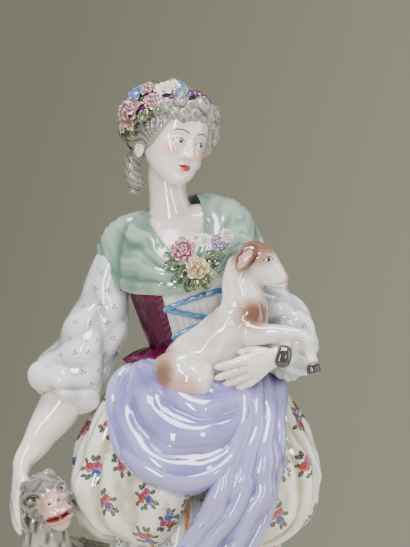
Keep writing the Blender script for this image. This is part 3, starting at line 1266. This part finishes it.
def right_cuff():
    """The rolled end of the sleeve: a thick ring round the forearm."""
    middle, direction, radius, thick = vec(-47, -6, 197.2), (-0.5, -0.16, -0.85), 10.2, 6.2
    facing = np.array(Vector((0, 0, 1)).rotation_difference(Vector(direction)).to_matrix())

    def shape(u, a):
        angle = 2 * pi * u
        broad = 0.9 * np.sin(5 * angle + 0.8 * a) + 0.6 * np.cos(3 * angle)
        pinch = 2.6 * np.exp(-np.abs(turn_from(angle, rad(-75) + 0.5 * a)) / 0.16) * (0.5 + 0.5 * np.cos(a))
        band = 1.3 * fold(a / pi + 0.25 * np.sin(angle + 1))
        section = thick + broad - pinch + band + gathers(angle / 6, angle, 9, 0, 0.5)
        r = radius + section * np.cos(a)
        return points_at(r * np.cos(angle), r * np.sin(angle), section * np.sin(a)) @ facing.T + middle

    return ring(44, 120, shape)


def right_forearm():
    forearm = [
        [-44, -4.5, 197, 9.5], [-49.5, -7, 187, 9.2, 8.6], [-55.8, -9.5, 178.4, 7.2], [-60, -11, 171, 5.8],
        [-64.3, -12.8, 164.8, 4.6, 4.2], [-65.6, -13.6, 159.5, 4.2, 3.6],
    ]
    arm = limb(forearm, 48, 48, relief=lambda t, a: 0.3 * np.sin(2 * a + 5 * t) + 0.22 * np.sin(3 * a - 9 * t))
    return hand((-65.8, -14, 158.5), (-0.16, -0.16, -1), (1, 0.25, -0.1), 1, 14, 2.2, 1, arm)


def left_sleeve():
    stations = [
        [24, 2, 266, 8], [30.5, 2, 261, 9.8], [35, 1, 250, 10.2], [40, -1, 238.5, 11.2], [48, -4, 227, 12.6],
        [51.5, -9, 218, 13.4], [50, -16, 212, 12.2],
    ]

    def creases(t, a):
        folds = 0.6 * np.sin(3 * a + 14 * t) + gathers(t, a, 4, 3.6, 2.3) + gathers(t, a, 2, -5, 1.4)
        return folds * ease(t, 0.25, 0.55)

    def puffed(x, y, z):
        folds = 2.1 * fold(1.5 * z + 0.9 * x - 0.5 * y) + 0.6 * fold(4 * x + 2.2 * z)
        return (folds + 0.5 * np.sin(3 * np.arctan2(z, x))) * domed(y)

    upper = limb(stations, 84, 96, relief=creases)
    points = coords(upper)
    dots = ((42, 243), (48, 236), (56, 232), (52, 243), (60, 224), (38, 252), (46, 250), (33, 259))
    spots = [[front_of(points, x, z), 20 * math.sin(x)] for x, z in dots]
    return [stamps(upper, spots), ball((52.6, -20, 211), (12, 8.5, 9.6), 90, 64, puffed)]


def left_forearm():
    forearm = [
        [52, -13, 212, 8], [51, -22, 212.4, 7], [49.6, -29.5, 213.4, 5.6], [46.5, -35.5, 211.6, 4.8, 4.2],
        [43.6, -38, 209.8, 4.6, 3.8],
    ]
    arm = limb(forearm, 40, 36)
    return hand((44.6, -38.6, 210.4), (-0.88, 0.0, -0.42), (-0.1, 0.9, 0.3), -1, 7, 3.5, 1.06, arm)


# Head, made upright and facing -Y, then turned to her left and bowed
HEAD_TURN = dict(yaw=32, pitch=8, lean=11, at=(0.8, -3.4, CROWN - 18.3))
WREATH_TURN = dict(yaw=30, pitch=13, at=(1, -3, CROWN - 18.3))
EYE_APART, EYE_HIGH = 5.3, -0.6  # a face is five eyes wide, and the eyes are half-way up the head
BROW_HIGH, NOSE_LOW, MOUTH_HIGH = 3.3, -7.6, -11.4

nose_height = through([
    [6, 0], [3, 0.8], [0, 1.2], [-3, 2.4], [-5.4, 3.8], [-6.6, 4.1], [-7.5, 3.2], [-8.3, 0.7], [-9.2, 0],
])
nose_width = through([[4, 1.9], [0, 1.25], [-4, 1.6], [-6.4, 2.1], [-8, 2.3]])
upper_lip = through([[-4, -11.2], [-1.2, -10.0], [0, -10.3], [1.2, -10.0], [4, -11.2]])


def features(x, z):
    """How far brow, eyes, nose, lips, cheeks and chin stand out from an egg-shaped face."""
    side = np.abs(x)
    out = nose_height(z) * np.exp(-np.abs(x / nose_width(z)) ** 2.2)
    out += 1.35 * domed(np.hypot((side - EYE_APART) / 3.1, (z - EYE_HIGH) / 2.3))
    out += 0.3 * bell(z, EYE_HIGH + 1.75 - 0.09 * (side - EYE_APART) ** 2, 0.42) * bell(side, EYE_APART, 3.0)
    out += 1.15 * bell(z, upper_lip(x) - 0.35, 0.75) * bell(x, 0, 2.5)
    # [how far it stands out, its middle to either side, its middle's height, half width, half height]
    for height, across, up, wide, tall in (
        (-1.5, 4.9, 0.5, 4.4, 3.1),  # eye sockets
        (0.3, 4.6, BROW_HIGH + 0.5, 4.6, 1.6),  # brows
        (1.3, 2.25, NOSE_LOW + 0.9, 0.85, 1.1),  # wings of the nose
        (-0.8, 1.15, NOSE_LOW - 0.5, 0.5, 0.5),  # nostrils
        (-0.3, 0, -9.3, 0.55, 0.7),  # groove above the lips
        (1.25, 0, -12.5, 2.1, 0.85),  # lower lip
        (-0.75, 0, MOUTH_HIGH, 3.1, 0.32),  # parting of the lips
        (-0.4, 3.5, MOUTH_HIGH, 0.7, 0.6),  # corners of the mouth
        (-0.7, 0, -14.5, 3.4, 1.1),  # hollow over the chin
        (1.3, 0, -17.4, 3.4, 2.1),  # chin
        (1.2, 7.4, -6.4, 4.2, 4.6),  # cheeks
    ):
        out += height * bell(side, across, wide) * bell(z, up, tall)
    return out


FACE = [  # [height, half width, front, back] of level slices through the head
    [-20.2, 3.4, -14.6, -7], [-18.6, 6.0, -15.8, -3], [-15.8, 8.8, -16.6, 2], [-11, 11.5, -17.0, 8],
    [-4, 13.2, -17.4, 12], [4, 13.8, -17.8, 15], [12, 12.8, -16.4, 16], [18, 8.5, -9, 12], [20.5, 4, -3.5, 6.5],
]


def face():
    mesh = limb([[0, 0, z, half, (back - front) / 2] for z, half, front, back in FACE], 190, 170, end=0.05)
    at = coords(mesh)
    at[:, 1] += through([[z, (front + back) / 2] for z, half, front, back in FACE])(at[:, 2])
    x, y, z = at.T
    at[:, 1] -= features(x, z) * ease(-y, 5, 11)
    move(mesh, at)
    store(mesh, "own", at)
    return mesh


def ears():
    def shell(x, y, z):
        return 0.5 * ridge(1.2 * np.hypot(y, z)) - 1.2 * bell(np.hypot(y + 0.2, z), 0.2, 0.35)

    return [ball((s * 15.0, -0.8, -8.2), (2.0, 2.5, 3.5), 40, 30, shell) for s in (-1, 1)]


TOWARDS_FACE = vec(0, -0.79, -0.61)
HAIR_MIDDLE = vec(0, 4.8, 4.4)


def hair():
    def relief(x, y, z):
        direction = points_at(x, y, z)
        back = np.arccos(np.clip(direction @ TOWARDS_FACE, -1, 1))
        turn = np.arctan2(x, direction @ np.cross(TOWARDS_FACE, vec(1, 0, 0)))  # round the face from her crown
        opening = (1 - ease(np.hypot(21.4 * x / 12.8, (19.4 * z + 8.6) / 15.5), 0.84, 1.12)) * ease(-y, 0.1, 0.4)
        nape = -3 * ease(-z, 0.45, 0.95)
        tousle = rough(direction, 0.34, 2.0)
        sweep = turn + 0.16 * np.sin(4.6 * back + 2 * np.sin(2 * turn))
        sweep += 0.05 * np.sin(11 * back + 7 * turn) + 0.13 * tousle
        locks = fold(15 * sweep / pi + 0.2 * np.sin(6 * back)) * (0.75 + 0.6 * tousle)
        strands = fold(61 * (sweep + 0.03 * np.sin(9 * back + 3 * turn)) / pi)
        return (0.8 * locks + 0.42 * strands) * np.sin(back) ** 0.7 + nape - 9 * opening

    return ball(HAIR_MIDDLE, (21.4, 20.6, 19.4), 230, 140, relief)


def curl(at, size, way=1, wound=1.7):
    """A snail of hair that faces away from the head."""
    out = unit(vec(*at) - HAIR_MIDDLE)
    right = unit(np.cross(out, vec(0, 0.3, 1)))
    up = np.cross(right, out)

    def snail(x, y, z):
        p = points_at(x, y, z)
        away = np.arccos(np.clip(p @ out, -1, 1)) / (pi / 2)
        turn = np.arctan2(p @ up, p @ right) * way / (2 * pi)
        twist = 0.12 * np.sin(7 * x + 5 * z) + 0.1 * np.sin(9 * y - 4 * z)
        coil = ridge(turn + wound * away + twist)
        strands = ridge(4 * turn + 5 * wound * away + 3 * twist)
        return size * (0.3 * (coil - 0.55) + 0.08 * strands) * ease(away, 0.05, 0.3)

    return ball(at, (size, size, size), 30, 22, snail)


def forelocks():
    """Short curls along the hairline, from ear to ear, in rows, and more of them beside her left temple."""
    forms = []
    rows = [  # [count, size, half width, depth, height]
        [13, 2.8, 15.4, 16.2, 11.2], [12, 3.5, 16.8, 14.6, 15.2],
    ]
    for row, (count, size, wide, deep, high) in enumerate(rows):
        for i in range(count):
            a = lerp(-1, 1, (i + 0.25 * (row % 2)) / (count - 0.5))
            turn = rad(a * 98)
            up = high - 12.5 * abs(a) ** 2.3 + 0.7 * math.cos(3 * i + row)
            at = (wide * math.sin(turn), -deep * math.cos(turn) + 0.4, up)
            wound = 1.15 + 0.25 * math.sin(7 * i + row)
            forms.append(curl(at, size + 0.55 * math.cos(5 * i + 2 * row), (-1) ** (i + row), wound))
    temple = [[14.0, -8.8, 7.6, 3.4], [15.2, -6.2, 3.4, 3.6], [15.4, -3.4, -1.4, 3.3], [17.4, -2.6, 5.6, 3.8]]
    for i, (x, y, z, size) in enumerate(temple):
        forms.append(curl((x, y, z), size, (-1) ** i, 1.2))
    return forms


def ringlet():
    """A corkscrew of hair that hangs behind her right ear."""
    drop = [
        [-12, 7, -6, 2.4], [-12.6, 9, -11, 3.2], [-12.4, 9.4, -17, 3.4], [-11.6, 8.2, -23.5, 3.1],
        [-11.2, 7.6, -27.5, 2],
    ]

    def wound(t, a):
        coil = (a + 13 * t + 0.8 * np.sin(7 * t)) / (2 * pi)
        return 1.5 * (ridge(coil) - 0.5) + 0.3 * ridge(5 * coil)

    return limb(drop, 44, 100, relief=wound)


# The wreath and the posy
SLANT = rad(52)
ACROSS_WREATH = vec(0, math.sin(SLANT), math.cos(SLANT))
WREATH_MIDDLE = vec(0, 4.8, 4)


def ring_point(a, out):
    """A point of the wreath, which rises from the nape on a slanting ring to the front of her crown."""
    up = (np.where(np.sin(a) > 0, 21, 17.5) + out) * np.sin(a)
    _, y, z = WREATH_MIDDLE
    at = np.broadcast_arrays((21.8 + out) * np.cos(a), y - up * math.cos(SLANT), z + up * math.sin(SLANT))
    return np.stack(at, -1)


def wreath_spot(degrees, shift, out):
    """A place on the wreath and the direction it faces."""
    at = ring_point(rad(degrees), out) - ACROSS_WREATH * shift
    return at, unit(at - WREATH_MIDDLE)


def ribbon():
    def shape(u, a):
        middle = ring_point(2 * pi * u, -0.6) + ACROSS_WREATH * (2.2 * np.cos(a))[:, None]
        tucks = 0.35 * np.sin(26 * pi * u) * np.cos(a) ** 2
        return middle + unit(middle - WREATH_MIDDLE) * (1.3 * np.sin(a) + tucks)[:, None]

    return ring(20, 220, shape)


def ribbon_puffs():
    """The gathered ends of the ribbon, to the left of her crown."""
    forms = []
    for degrees, shift, size, spin in (
        (84, -2.4, 4.4, 250), (78, -2.8, 4.6, 255), (72, -2.6, 4.8, 262), (66, -1.8, 4.6, 270), (60, -0.6, 4.0, 285),
    ):
        puff = petal(1.3 * size, 0.42 * size, 50, -10, -0.3, 1.0, 0.9, 0.2)
        forms += point_out([puff], *wreath_spot(degrees, shift, -0.4), spin)
    return forms


def petal(length, width, base_lift, tip_lift, cup, thick, tip, frill=0.0, sides=14, rows=12):
    """A petal or leaf that starts at the origin along +X, lifted by degrees at its base and its tip."""
    steps = np.linspace(0, 1, 40)
    lift = np.radians(lerp(base_lift, tip_lift, steps))
    run, rise = (
        np.concatenate([[0], np.cumsum(part(lift[1:]) / (len(steps) - 1))]) * length for part in (np.cos, np.sin)
    )

    def shape(p):
        along = np.arccos(np.clip(-p[:, 2], -1, 1)) / pi
        ring_size = np.maximum(np.hypot(p[:, 0], p[:, 1]), 1e-6)
        s, up = p[:, 0] / ring_size, p[:, 1] / ring_size
        half = width * np.sin(pi * along**tip) ** 0.6
        slope = np.interp(along, steps, lift)
        above = cup * width * s**2 + frill * np.sin(9 * s) * along**3 + thick * up * ring_size**0.5
        x = np.interp(along, steps, run) - np.sin(slope) * above
        z = np.interp(along, steps, rise) + np.cos(slope) * above
        return points_at(x, half * s, z), points_at(s * half / width, up, along)

    return formed(ball_mesh(sides, rows), shape)


def whorl(count, size, start, length, width, base, tip, cup, point=0.75, frill=0.0, unruly=6):
    """Petals set round an axis along +Z."""
    forms = []
    for i in range(count):
        wobble = unruly * math.sin(2.4 * i + 9 * start)
        long = size * length * (1 + 0.06 * math.cos(3 * i))
        made = petal(long, size * width, base + wobble, tip + wobble, cup, 0.075 * size + 0.08, point, size * frill)
        forms += place([made], yaw=360 * (i + start) / count)
    return forms


def rose(size, light, deep):
    """An open rose: three rings of cupped petals round a tight bud."""

    def bud(x, y, z):
        return 0.05 * size * np.sin(2 * np.arctan2(y, x) + 5 * z) * (1 - z * z)

    outer = whorl(6, size, 0.0, 1.05, 0.56, 26, -8, 0.3)
    middle = whorl(5, size, 0.4, 0.86, 0.5, 58, 32, -0.5)
    inner = whorl(4, size, 0.7, 0.66, 0.4, 78, 66, -0.7)
    inner.append(ball((0, 0, 0.3 * size), (0.26 * size, 0.26 * size, 0.42 * size), 16, 12, bud))
    return tinted(outer, *light) + tinted(middle, *lerp(vec(*light), vec(*deep), 0.5)) + tinted(inner, *deep)


def carnation(size, light, deep):
    """Rings of narrow petals with frilled ends."""
    forms = []
    for number, (count, lift, reach) in enumerate([(10, 12, 1.0), (9, 34, 0.86), (7, 56, 0.68), (4, 76, 0.5)]):
        petals = whorl(count, size, 0.37 * number, reach, 0.27, lift + 14, lift - 8, 0.2, 1.1, 0.06, unruly=8)
        forms += tinted(petals, *lerp(vec(*light), vec(*deep), number / 3))
    return forms


def daisy(size, light, deep):
    """A small flower of six flat petals round a yellow eye."""
    eye = ball((0, 0, 0.16 * size), (0.24 * size, 0.24 * size, 0.2 * size), 14, 10)
    return tinted(whorl(6, size, 0.0, 1.0, 0.42, 30, 0, 0.25, 0.9), *light) + tinted([eye], *deep)


def leaf(size, shade):
    return tinted([petal(size * 1.5, size * 0.5, 24, -12, 0.35, 0.3, 0.85, 0.0, 18, 18)], *shade)


PINK, MAUVE = (0.46, 0.15, 0.20), (0.34, 0.12, 0.16)
ROSE_PINK, DEEP_ROSE = (0.34, 0.07, 0.13), (0.15, 0.015, 0.045)
WHITE, CREAM, YELLOW, ORANGE = (0.78, 0.77, 0.73), (0.68, 0.58, 0.34), (0.66, 0.40, 0.03), (0.50, 0.15, 0.015)
BLUE, DEEP_BLUE, LILAC = (0.10, 0.19, 0.50), (0.03, 0.06, 0.28), (0.32, 0.2, 0.44)
STRAW, GOLD = (0.54, 0.42, 0.16), (0.24, 0.075, 0.002)
LEAF, PALE_LEAF, DARK_LEAF = (0.06, 0.105, 0.045), (0.20, 0.27, 0.135), (0.018, 0.04, 0.02)

# [degrees round the wreath, shift across it, size, kind, light colour, deep colour]
BLOOMS = [
    [184, 0.5, 2.8, daisy, CREAM, YELLOW], [173, -4.4, 3.6, daisy, ORANGE, YELLOW],
    [161, -1.6, 6.6, rose, MAUVE, DEEP_ROSE], [145, -7.4, 4.4, daisy, BLUE, WHITE],
    [152, -7.6, 2.6, daisy, YELLOW, ORANGE], [131, -7.0, 3.8, rose, PINK, DEEP_ROSE],
    [131, 0.4, 4.4, rose, PINK, DEEP_ROSE], [114, -4.0, 4.0, rose, WHITE, CREAM], [104, -5.0, 3.6, rose, WHITE, CREAM],
    [120, -4.6, 3.2, daisy, WHITE, YELLOW], [97, 0.4, 4.2, daisy, BLUE, DEEP_BLUE],
    [95, -4.6, 3.0, daisy, BLUE, WHITE], [168, 3.6, 3.0, daisy, CREAM, ORANGE],
]
# [degrees round the wreath, shift across it, size, degrees turned, colour]
WREATH_LEAVES = [
    [186, -3, 3.6, 200, DARK_LEAF], [177, 1, 4.2, 250, DARK_LEAF], [166, 6, 4, 220, LEAF],
    [150, -10, 3.6, 60, PALE_LEAF], [140, -9, 3.8, 100, LEAF], [146, 2.0, 4.6, 230, LEAF],
    [140, -2.5, 4.4, 110, DARK_LEAF], [138, 5.0, 4.6, 200, LEAF], [118, 2.4, 4.8, 170, PALE_LEAF],
    [107, 2.4, 4.6, 10, PALE_LEAF], [123, 5.0, 4.0, 200, LEAF], [110, -1.0, 4.2, 30, LEAF],
    [124, -1.6, 4.0, 60, DARK_LEAF], [88, -1.0, 3.6, 340, PALE_LEAF], [152, 4.6, 4.0, 180, LEAF],
    [190, 1, 3.8, 230, LEAF], [100, -7, 4.0, 90, PALE_LEAF], [120, -9, 4.0, 90, LEAF],
]
# [x, y, z, size, kind, light colour, deep colour, degrees turned]
POSY = [
    [6, -26, 257.4, 6.4, carnation, ROSE_PINK, DEEP_ROSE, 20], [11.8, -28, 249.8, 5.4, rose, STRAW, GOLD, 0],
    [15, -26.4, 261.6, 3.6, daisy, WHITE, YELLOW, 10], [20.4, -26, 260.8, 4.2, carnation, LILAC, DEEP_ROSE, 0],
    [24.4, -24.8, 263.6, 3.8, carnation, WHITE, ROSE_PINK, 0], [11.4, -26, 262.6, 2.6, daisy, WHITE, DEEP_BLUE, 0],
]
# [x, y, z, size, degrees turned, colour]
POSY_LEAVES = [
    [4, -25.6, 250.5, 4.6, 175, LEAF], [6, -26, 247, 4.4, 215, LEAF], [9, -26.4, 245.5, 4.6, 262, DARK_LEAF],
    [14, -26.4, 246, 4.4, 300, LEAF], [15.5, -26, 252.5, 4.6, 8, DARK_LEAF], [16, -26, 256.5, 4, 340, LEAF],
    [2.5, -25.8, 253, 4, 150, LEAF], [22, -25, 258.5, 3.2, 330, PALE_LEAF], [6.5, -27.2, 250, 3.8, 240, DARK_LEAF],
    [10.5, -27.4, 245.6, 4, 280, LEAF], [16, -27.2, 249, 3.8, 330, PALE_LEAF], [8, -27.4, 253, 3.2, 200, PALE_LEAF],
]


def garland():
    forms = []
    for i, (degrees, shift, size, kind, light, deep) in enumerate(BLOOMS):
        forms += point_out(kind(size, light, deep), *wreath_spot(degrees, shift, 0.6), 40 * i)
    return forms


def garland_leaves():
    forms = []
    for degrees, shift, size, spin, shade in WREATH_LEAVES:
        forms += point_out(leaf(size, shade), *wreath_spot(degrees, shift * 0.6, 0.2), spin)
    return forms


def posy():
    forms = []
    for x, y, z, size, kind, light, deep, spin in POSY:
        forms += point_out(kind(size, light, deep), (x, y, z), unit(vec(x - 8, -26, 0.5 * (z - 246))), spin)
    return forms


def posy_leaves():
    forms = []
    for x, y, z, size, spin, shade in POSY_LEAVES:
        forms += point_out(leaf(size, shade), (x, y, z), unit(vec(0.1, -1, 0.12)), 0)
        turn = Matrix.Translation((x, y, z)) @ Matrix.Rotation(rad(-spin), 4, "Y") @ Matrix.Translation((-x, -y, -z))
        forms[-1].transform(turn)
    return forms


# Lamb and sheep
LAMB_EYE = [43.0, 253.4]


def animal_eye(away, sunk, bulge, lid, soft, over):
    """The relief of an eye: away is 1 at the edge of the eyeball, and the lid stands out where over is true."""
    return bulge * domed(away) - sunk * bell(away, 0, 1) + lid * bell(away, 1.5, soft) * over


def lamb():
    body = [
        [-1, -24, 204, 5.5], [2, -24.5, 204.6, 9.8], [8.8, -26, 208, 12], [16.7, -27, 213.6, 11.9],
        [24.6, -27.5, 219.8, 12], [30.8, -27.5, 226, 12.4], [32.2, -27, 232, 11], [31.8, -26.5, 237.5, 9.2],
        [31.2, -26, 244, 8], [32.6, -25.8, 250, 7.6], [35, -25.8, 254.5, 6.6],
    ]
    haunch = [
        [0, -26, 211, 8.5], [3, -29.5, 205.5, 11.4], [7.5, -32.5, 202, 12], [13, -34.5, 200.4, 10.6],
        [19.5, -35.5, 199.5, 8],
    ]
    head = [
        [31, -25.6, 252.4, 6], [36, -25.8, 253.2, 8.6], [40.4, -26, 250.6, 8.4], [44.6, -26.3, 247.2, 6.3],
        [48.6, -26.6, 244.7, 4.5], [51.9, -26.8, 244.3, 3.1],
    ]
    near_leg = [
        [31, -34, 222, 8], [40, -37, 221, 5.4], [50, -38.5, 221, 3.6], [58.4, -39, 219.8, 3.1], [61, -39.5, 213, 2.1],
        [62.2, -40, 207.4, 2.5],
    ]
    far_leg = [
        [36, -28, 219, 6], [45, -33, 219, 4], [50.5, -37, 217.5, 3.2], [49.6, -39.5, 213.5, 2.7],
        [47.4, -40, 208.8, 3.4],
    ]
    near_hoof = [[61.9, -39.8, 208.6, 2.5], [62.4, -40.2, 206, 3.1], [62.8, -40.6, 203.4, 3.0]]
    far_hoof = [[50.4, -39.4, 215.6, 2.8], [49.4, -41, 211.4, 3.6], [48.0, -41.8, 206.4, 3.2]]
    ear = [
        [36.6, -32.6, 259.6, 1.8, 1.3], [35, -35, 257.4, 3.0, 1.5], [32, -36, 253, 3.1, 1.4],
        [29.4, -35, 248.4, 1.2, 0.9],
    ]

    def fleece(t, a):
        ribs = 0.5 * bell(t, 0.42, 0.12) * fold(9 * t + 0.3 * np.sin(a))
        return 0.4 * np.sin(4 * a + 9 * t) + ribs + 0.25 * np.sin(11 * a + 30 * t) * np.sin(23 * t)

    skull = limb(head, 96, 100, across=(0, 1, 0))
    at = coords(skull)
    x, y, z = at.T
    eye = animal_eye(np.hypot((x - LAMB_EYE[0]) / 2.6, (z - LAMB_EYE[1]) / 1.9), 1.1, 1.3, 0.7, 0.35, z > LAMB_EYE[1])
    mouth = 0.7 * bell(z - lerp(242.3, 244.2, ease(x, 46, 53)), 0, 0.5) * ease(x, 45, 48)
    nostril = 0.8 * bell(x, 52.6, 0.8) * bell(z, 246.4, 0.7)
    at[:, 1] += ease(-y, 26, 30) * (mouth + nostril - eye)
    move(skull, at)
    soft = [
        limb(body, 96, 130, relief=fleece),
        limb(haunch, 64, 56, relief=lambda t, a: 0.5 * np.sin(3 * a + 8 * t)),
        skull,
        limb(near_leg, 36, 64, relief=lambda t, a: 0.7 * bell(t, 0.68, 0.06) + 0.3 * np.sin(2 * a + 9 * t)),
        limb(far_leg, 30, 44),
    ]
    forms = [fused(soft, 0.62), limb(ear, 40, 44, relief=lambda t, a: -0.8 * np.sin(a) ** 8 * bell(t, 0.5, 0.25))]
    for hoof in (near_hoof, far_hoof):
        forms.append(limb(hoof, 24, 20, end=0.2, relief=lambda t, a: -0.5 * bell(turn_from(a, rad(90)), 0, 0.25)))
    return forms


def tufts(at, size, height):
    """Tufts of wool of the given size."""
    return height * (np.abs(rough(at, size)) ** 0.6 - 0.4)


def sheep():
    body = [
        [0, 35, -3, 7, 8], [0, 29, -1, 12.5, 14], [0, 12, 0, 15, 16.5], [0, -6, 0, 15, 17], [0, -19, 3, 12.5, 15],
        [0, -26, 8, 8, 10],
    ]
    neck = [[1, -16, 3, 12, 11], [2.5, -23, 13, 10.6, 10], [3, -25, 23, 9.4, 9], [2, -24, 31, 8.8, 8.5]]
    tail = [[0, 34, 3, 4], [0, 39, -4, 4.4], [0, 39, -13, 2.6]]
    trunk = limb(body, 110, 96, relief=lambda t, a: 0.8 * np.sin(5 * a + 11 * t) + 0.5 * np.sin(9 * a - 17 * t))
    at = coords(trunk)
    wool = tufts(at, 6.5, 1.5) + 0.5 * rough(at, 2.6, 4.0)
    move(trunk, at + unit(at * vec(1, 0.15, 1)) * wool[:, None])

    def locks(t, a):
        return fold(7 * a / (2 * pi) + 0.5 * np.sin(5 * t)) + 0.3 * np.sin(13 * a + 9 * t)

    forms = [
        trunk,
        limb(neck, 80, 56, relief=locks),
        limb(tail, 36, 40, relief=lambda t, a: 0.6 * np.sin(5 * a + 20 * t)),
    ]
    for x, y in [[-7, -17], [7, -15], [-7.5, 24], [7.5, 27]]:
        forms.append(limb([[x, y, -8, 5.5], [x, y + 1, -22, 3.6], [x, y, -34, 2.8], [x, y - 1, -41, 3.4]], 28, 36))
    return place(forms, yaw=-29, at=(-45, 12, 112))


SHEEP_HEAD = dict(yaw=14, pitch=-2, lean=-22, at=(-54.2, -20, 147))


def sheep_head():
    """Made facing -Y: a broad muzzle with full lips, a woolly brow and hanging ears."""
    skull = [
        [0, 8, 2, 6, 6], [0, 2, 3, 10.6, 10.5], [0, -5, 0.5, 10.2, 10.6], [0, -11, -3, 6.8, 9.2],
        [0, -15.5, -5, 5.9, 8.4], [0, -19, -5.6, 4.4, 6.2],
    ]
    mesh = limb(skull, 120, 110)
    at = coords(mesh)
    x, y, z = at.T
    out = unit(at - points_at(0 * x, y * 0.85 + 1, lerp(0, -5, ease(-y, 0, 18))))
    side, muzzle = np.abs(x), ease(-y, 10, 14)
    away = np.hypot((side - SHEEP_EYE[0]) / 2.6, (z - SHEEP_EYE[1]) / 1.8)
    raised = animal_eye(away, 1.6, 1.7, 0.8, 0.3, z > 4) * ease(-y, 2, 5)
    lips = SHEEP_LIPS + 0.05 * side**1.5
    full = 1.5 * bell(z, lips + 1.5, 1.2) + 1.2 * bell(z, lips - 1.4, 1.0) - 1.9 * bell(z, lips, 0.55)
    nostrils = 0.9 * bell(side, 2.6, 1.6) * bell(z, 1.2, 2) - 1.2 * bell(side, 2.3, 0.8) * bell(z, 0.4, 0.9)
    raised += muzzle * (nostrils + full * (1 - ease(side, 5.2, 6.6)))
    raised += 0.5 * fold(z / 3.4 + 0.16 * side) * ease(-y, 5, 9) * (1 - muzzle)
    raised += (tufts(at, 4.5, 1.2) + 0.35 * rough(at, 1.8)) * (1 - ease(-y, 3, 9))
    move(mesh, at + out * raised[:, None])
    store(mesh, "own", coords(mesh))
    forms = [mesh]
    for s in (-1, 1):
        ear = [[s * 8.5, 2, 1, 2.8, 1.5], [s * 12.2, 2.4, -2.5, 3.8, 1.5], [s * 12.6, 2, -9.5, 1.8, 1]]
        forms.append(limb(ear, 40, 44, across=(0, 1, 0), relief=lambda t, a: 0.25 * np.sin(4 * a + 12 * t)))
    for i in range(7):
        a = (i / 7) * 2 * pi
        at = (5.4 * math.cos(a), 2.2 + 4.2 * math.sin(a), 8.4 + 0.7 * math.cos(3 * i))
        forms.append(curl(at, 3.3 + 0.5 * math.cos(2 * i), (-1) ** i, 0.8))
    return place(forms, **SHEEP_HEAD)


def shoes():
    forms = []
    for s in (-1, 1):
        x = SKIRT_X + s * 10
        toe = [
            [x, -28, 28, 6, 6], [x, -38, 26, 6, 5.4], [x + s, -46, 23.5, 4.6, 3.6], [x + s * 1.5, -50, 22.4, 2.4, 2.2],
        ]
        forms += [limb(toe, 32, 32), ball((x, -29, 36), (5, 5, 12), 24, 20)]
    return forms


# The scene
def stage():
    """A floor, and a wall far behind it that is lighter low down on the right."""
    for name, at, turn, size in (("floor", (0, 0, 0), 0, 3.8), ("wall", (0, 3.4, 0), rad(90), 9)):
        bm = bmesh.new()
        bmesh.ops.create_grid(bm, x_segments=1, y_segments=1, size=size / 2)
        bmesh.ops.rotate(bm, cent=(0, 0, 0), matrix=Matrix.Rotation(turn, 3, "X"), verts=bm.verts[:])
        bmesh.ops.translate(bm, vec=at, verts=bm.verts[:])
        obj = shown(name, mesh_from(bm, name))
        paint = Paint(name, (0.53, 0.52, 0.405), roughness=0.8, glaze=0.0)
        x, _, z = paint.split(paint.place())
        share = (x * 1.52 + (0.25 - z) * 0.6 + 0.4).math("MAXIMUM", 0.0).math("MINIMUM", 1.0)
        paint.over(share, (0.90, 0.875, 0.70))
        obj.data.materials.append(paint.finish())


studio()
stage()

apron_glaze = cloth_paint("apron_glaze", (0.235, 0.215, 0.50), (0.115, 0.10, 0.30), (0.42, 0.40, 0.72)).finish()
lace_glaze = cloth_paint("lace_glaze", (0.02, 0.125, 0.33), (0.008, 0.05, 0.16), (0.10, 0.28, 0.48)).finish()
shawl_glaze = cloth_paint("shawl_glaze", (0.185, 0.28, 0.225), (0.07, 0.135, 0.105), (0.42, 0.51, 0.455)).finish()
wool = cloth_paint("sheep_glaze", (0.24, 0.225, 0.21), (0.10, 0.09, 0.08), (0.52, 0.50, 0.475), 0.4, 90.0)
skin_glaze, petal_glaze, leaf_glaze = skin_paint(), petal_paint(), leaf_paint()

body = torso()
piece("base", [base(), rock()], base_paint())
piece("petticoat", [petticoat()], striped_paint())
piece("overskirt", [overskirt()], sprig_paint(), 40, True)
piece("apron", [apron_swag(), apron_fall()], apron_glaze, 30, True)
piece("laces", laces(body), lace_glaze)
piece("bodice", [body, peplum(), *bodice_edges(body)], bodice_paint(), 14, True)
piece("neck", shoulders_and_neck(), skin_glaze)
piece("forearms", right_forearm() + left_forearm(), skin_glaze)
piece("sleeves", [right_sleeve(), right_cuff(), *left_sleeve()], sleeve_paint(), 36, True)
piece("shawl", [shawl()], shawl_glaze, 30, True)
piece("face", place([face(), *ears()], **HEAD_TURN), face_paint(), 6)
piece("hair", place([hair(), *forelocks()], **HEAD_TURN) + place([ringlet()], **WREATH_TURN), hair_paint(), 6)
piece("ribbon", place([ribbon(), *ribbon_puffs()], **WREATH_TURN), plain("ribbon_glaze", (0.12, 0.025, 0.10)))
piece("wreath_flowers", place(garland(), **WREATH_TURN), petal_glaze, 3)
piece("wreath_leaves", place(garland_leaves(), **WREATH_TURN), leaf_glaze, 3)
piece("posy_flowers", posy(), petal_glaze, 3)
piece("posy_leaves", posy_leaves(), leaf_glaze, 3)
piece("lamb", lamb(), lamb_paint(), 24, True)
piece("sheep", sheep(), wool.finish())
piece("sheep_head", sheep_head(), sheep_face_paint())
piece("shoes", shoes(), plain("shoe_glaze", (0.2, 0.05, 0.12)))
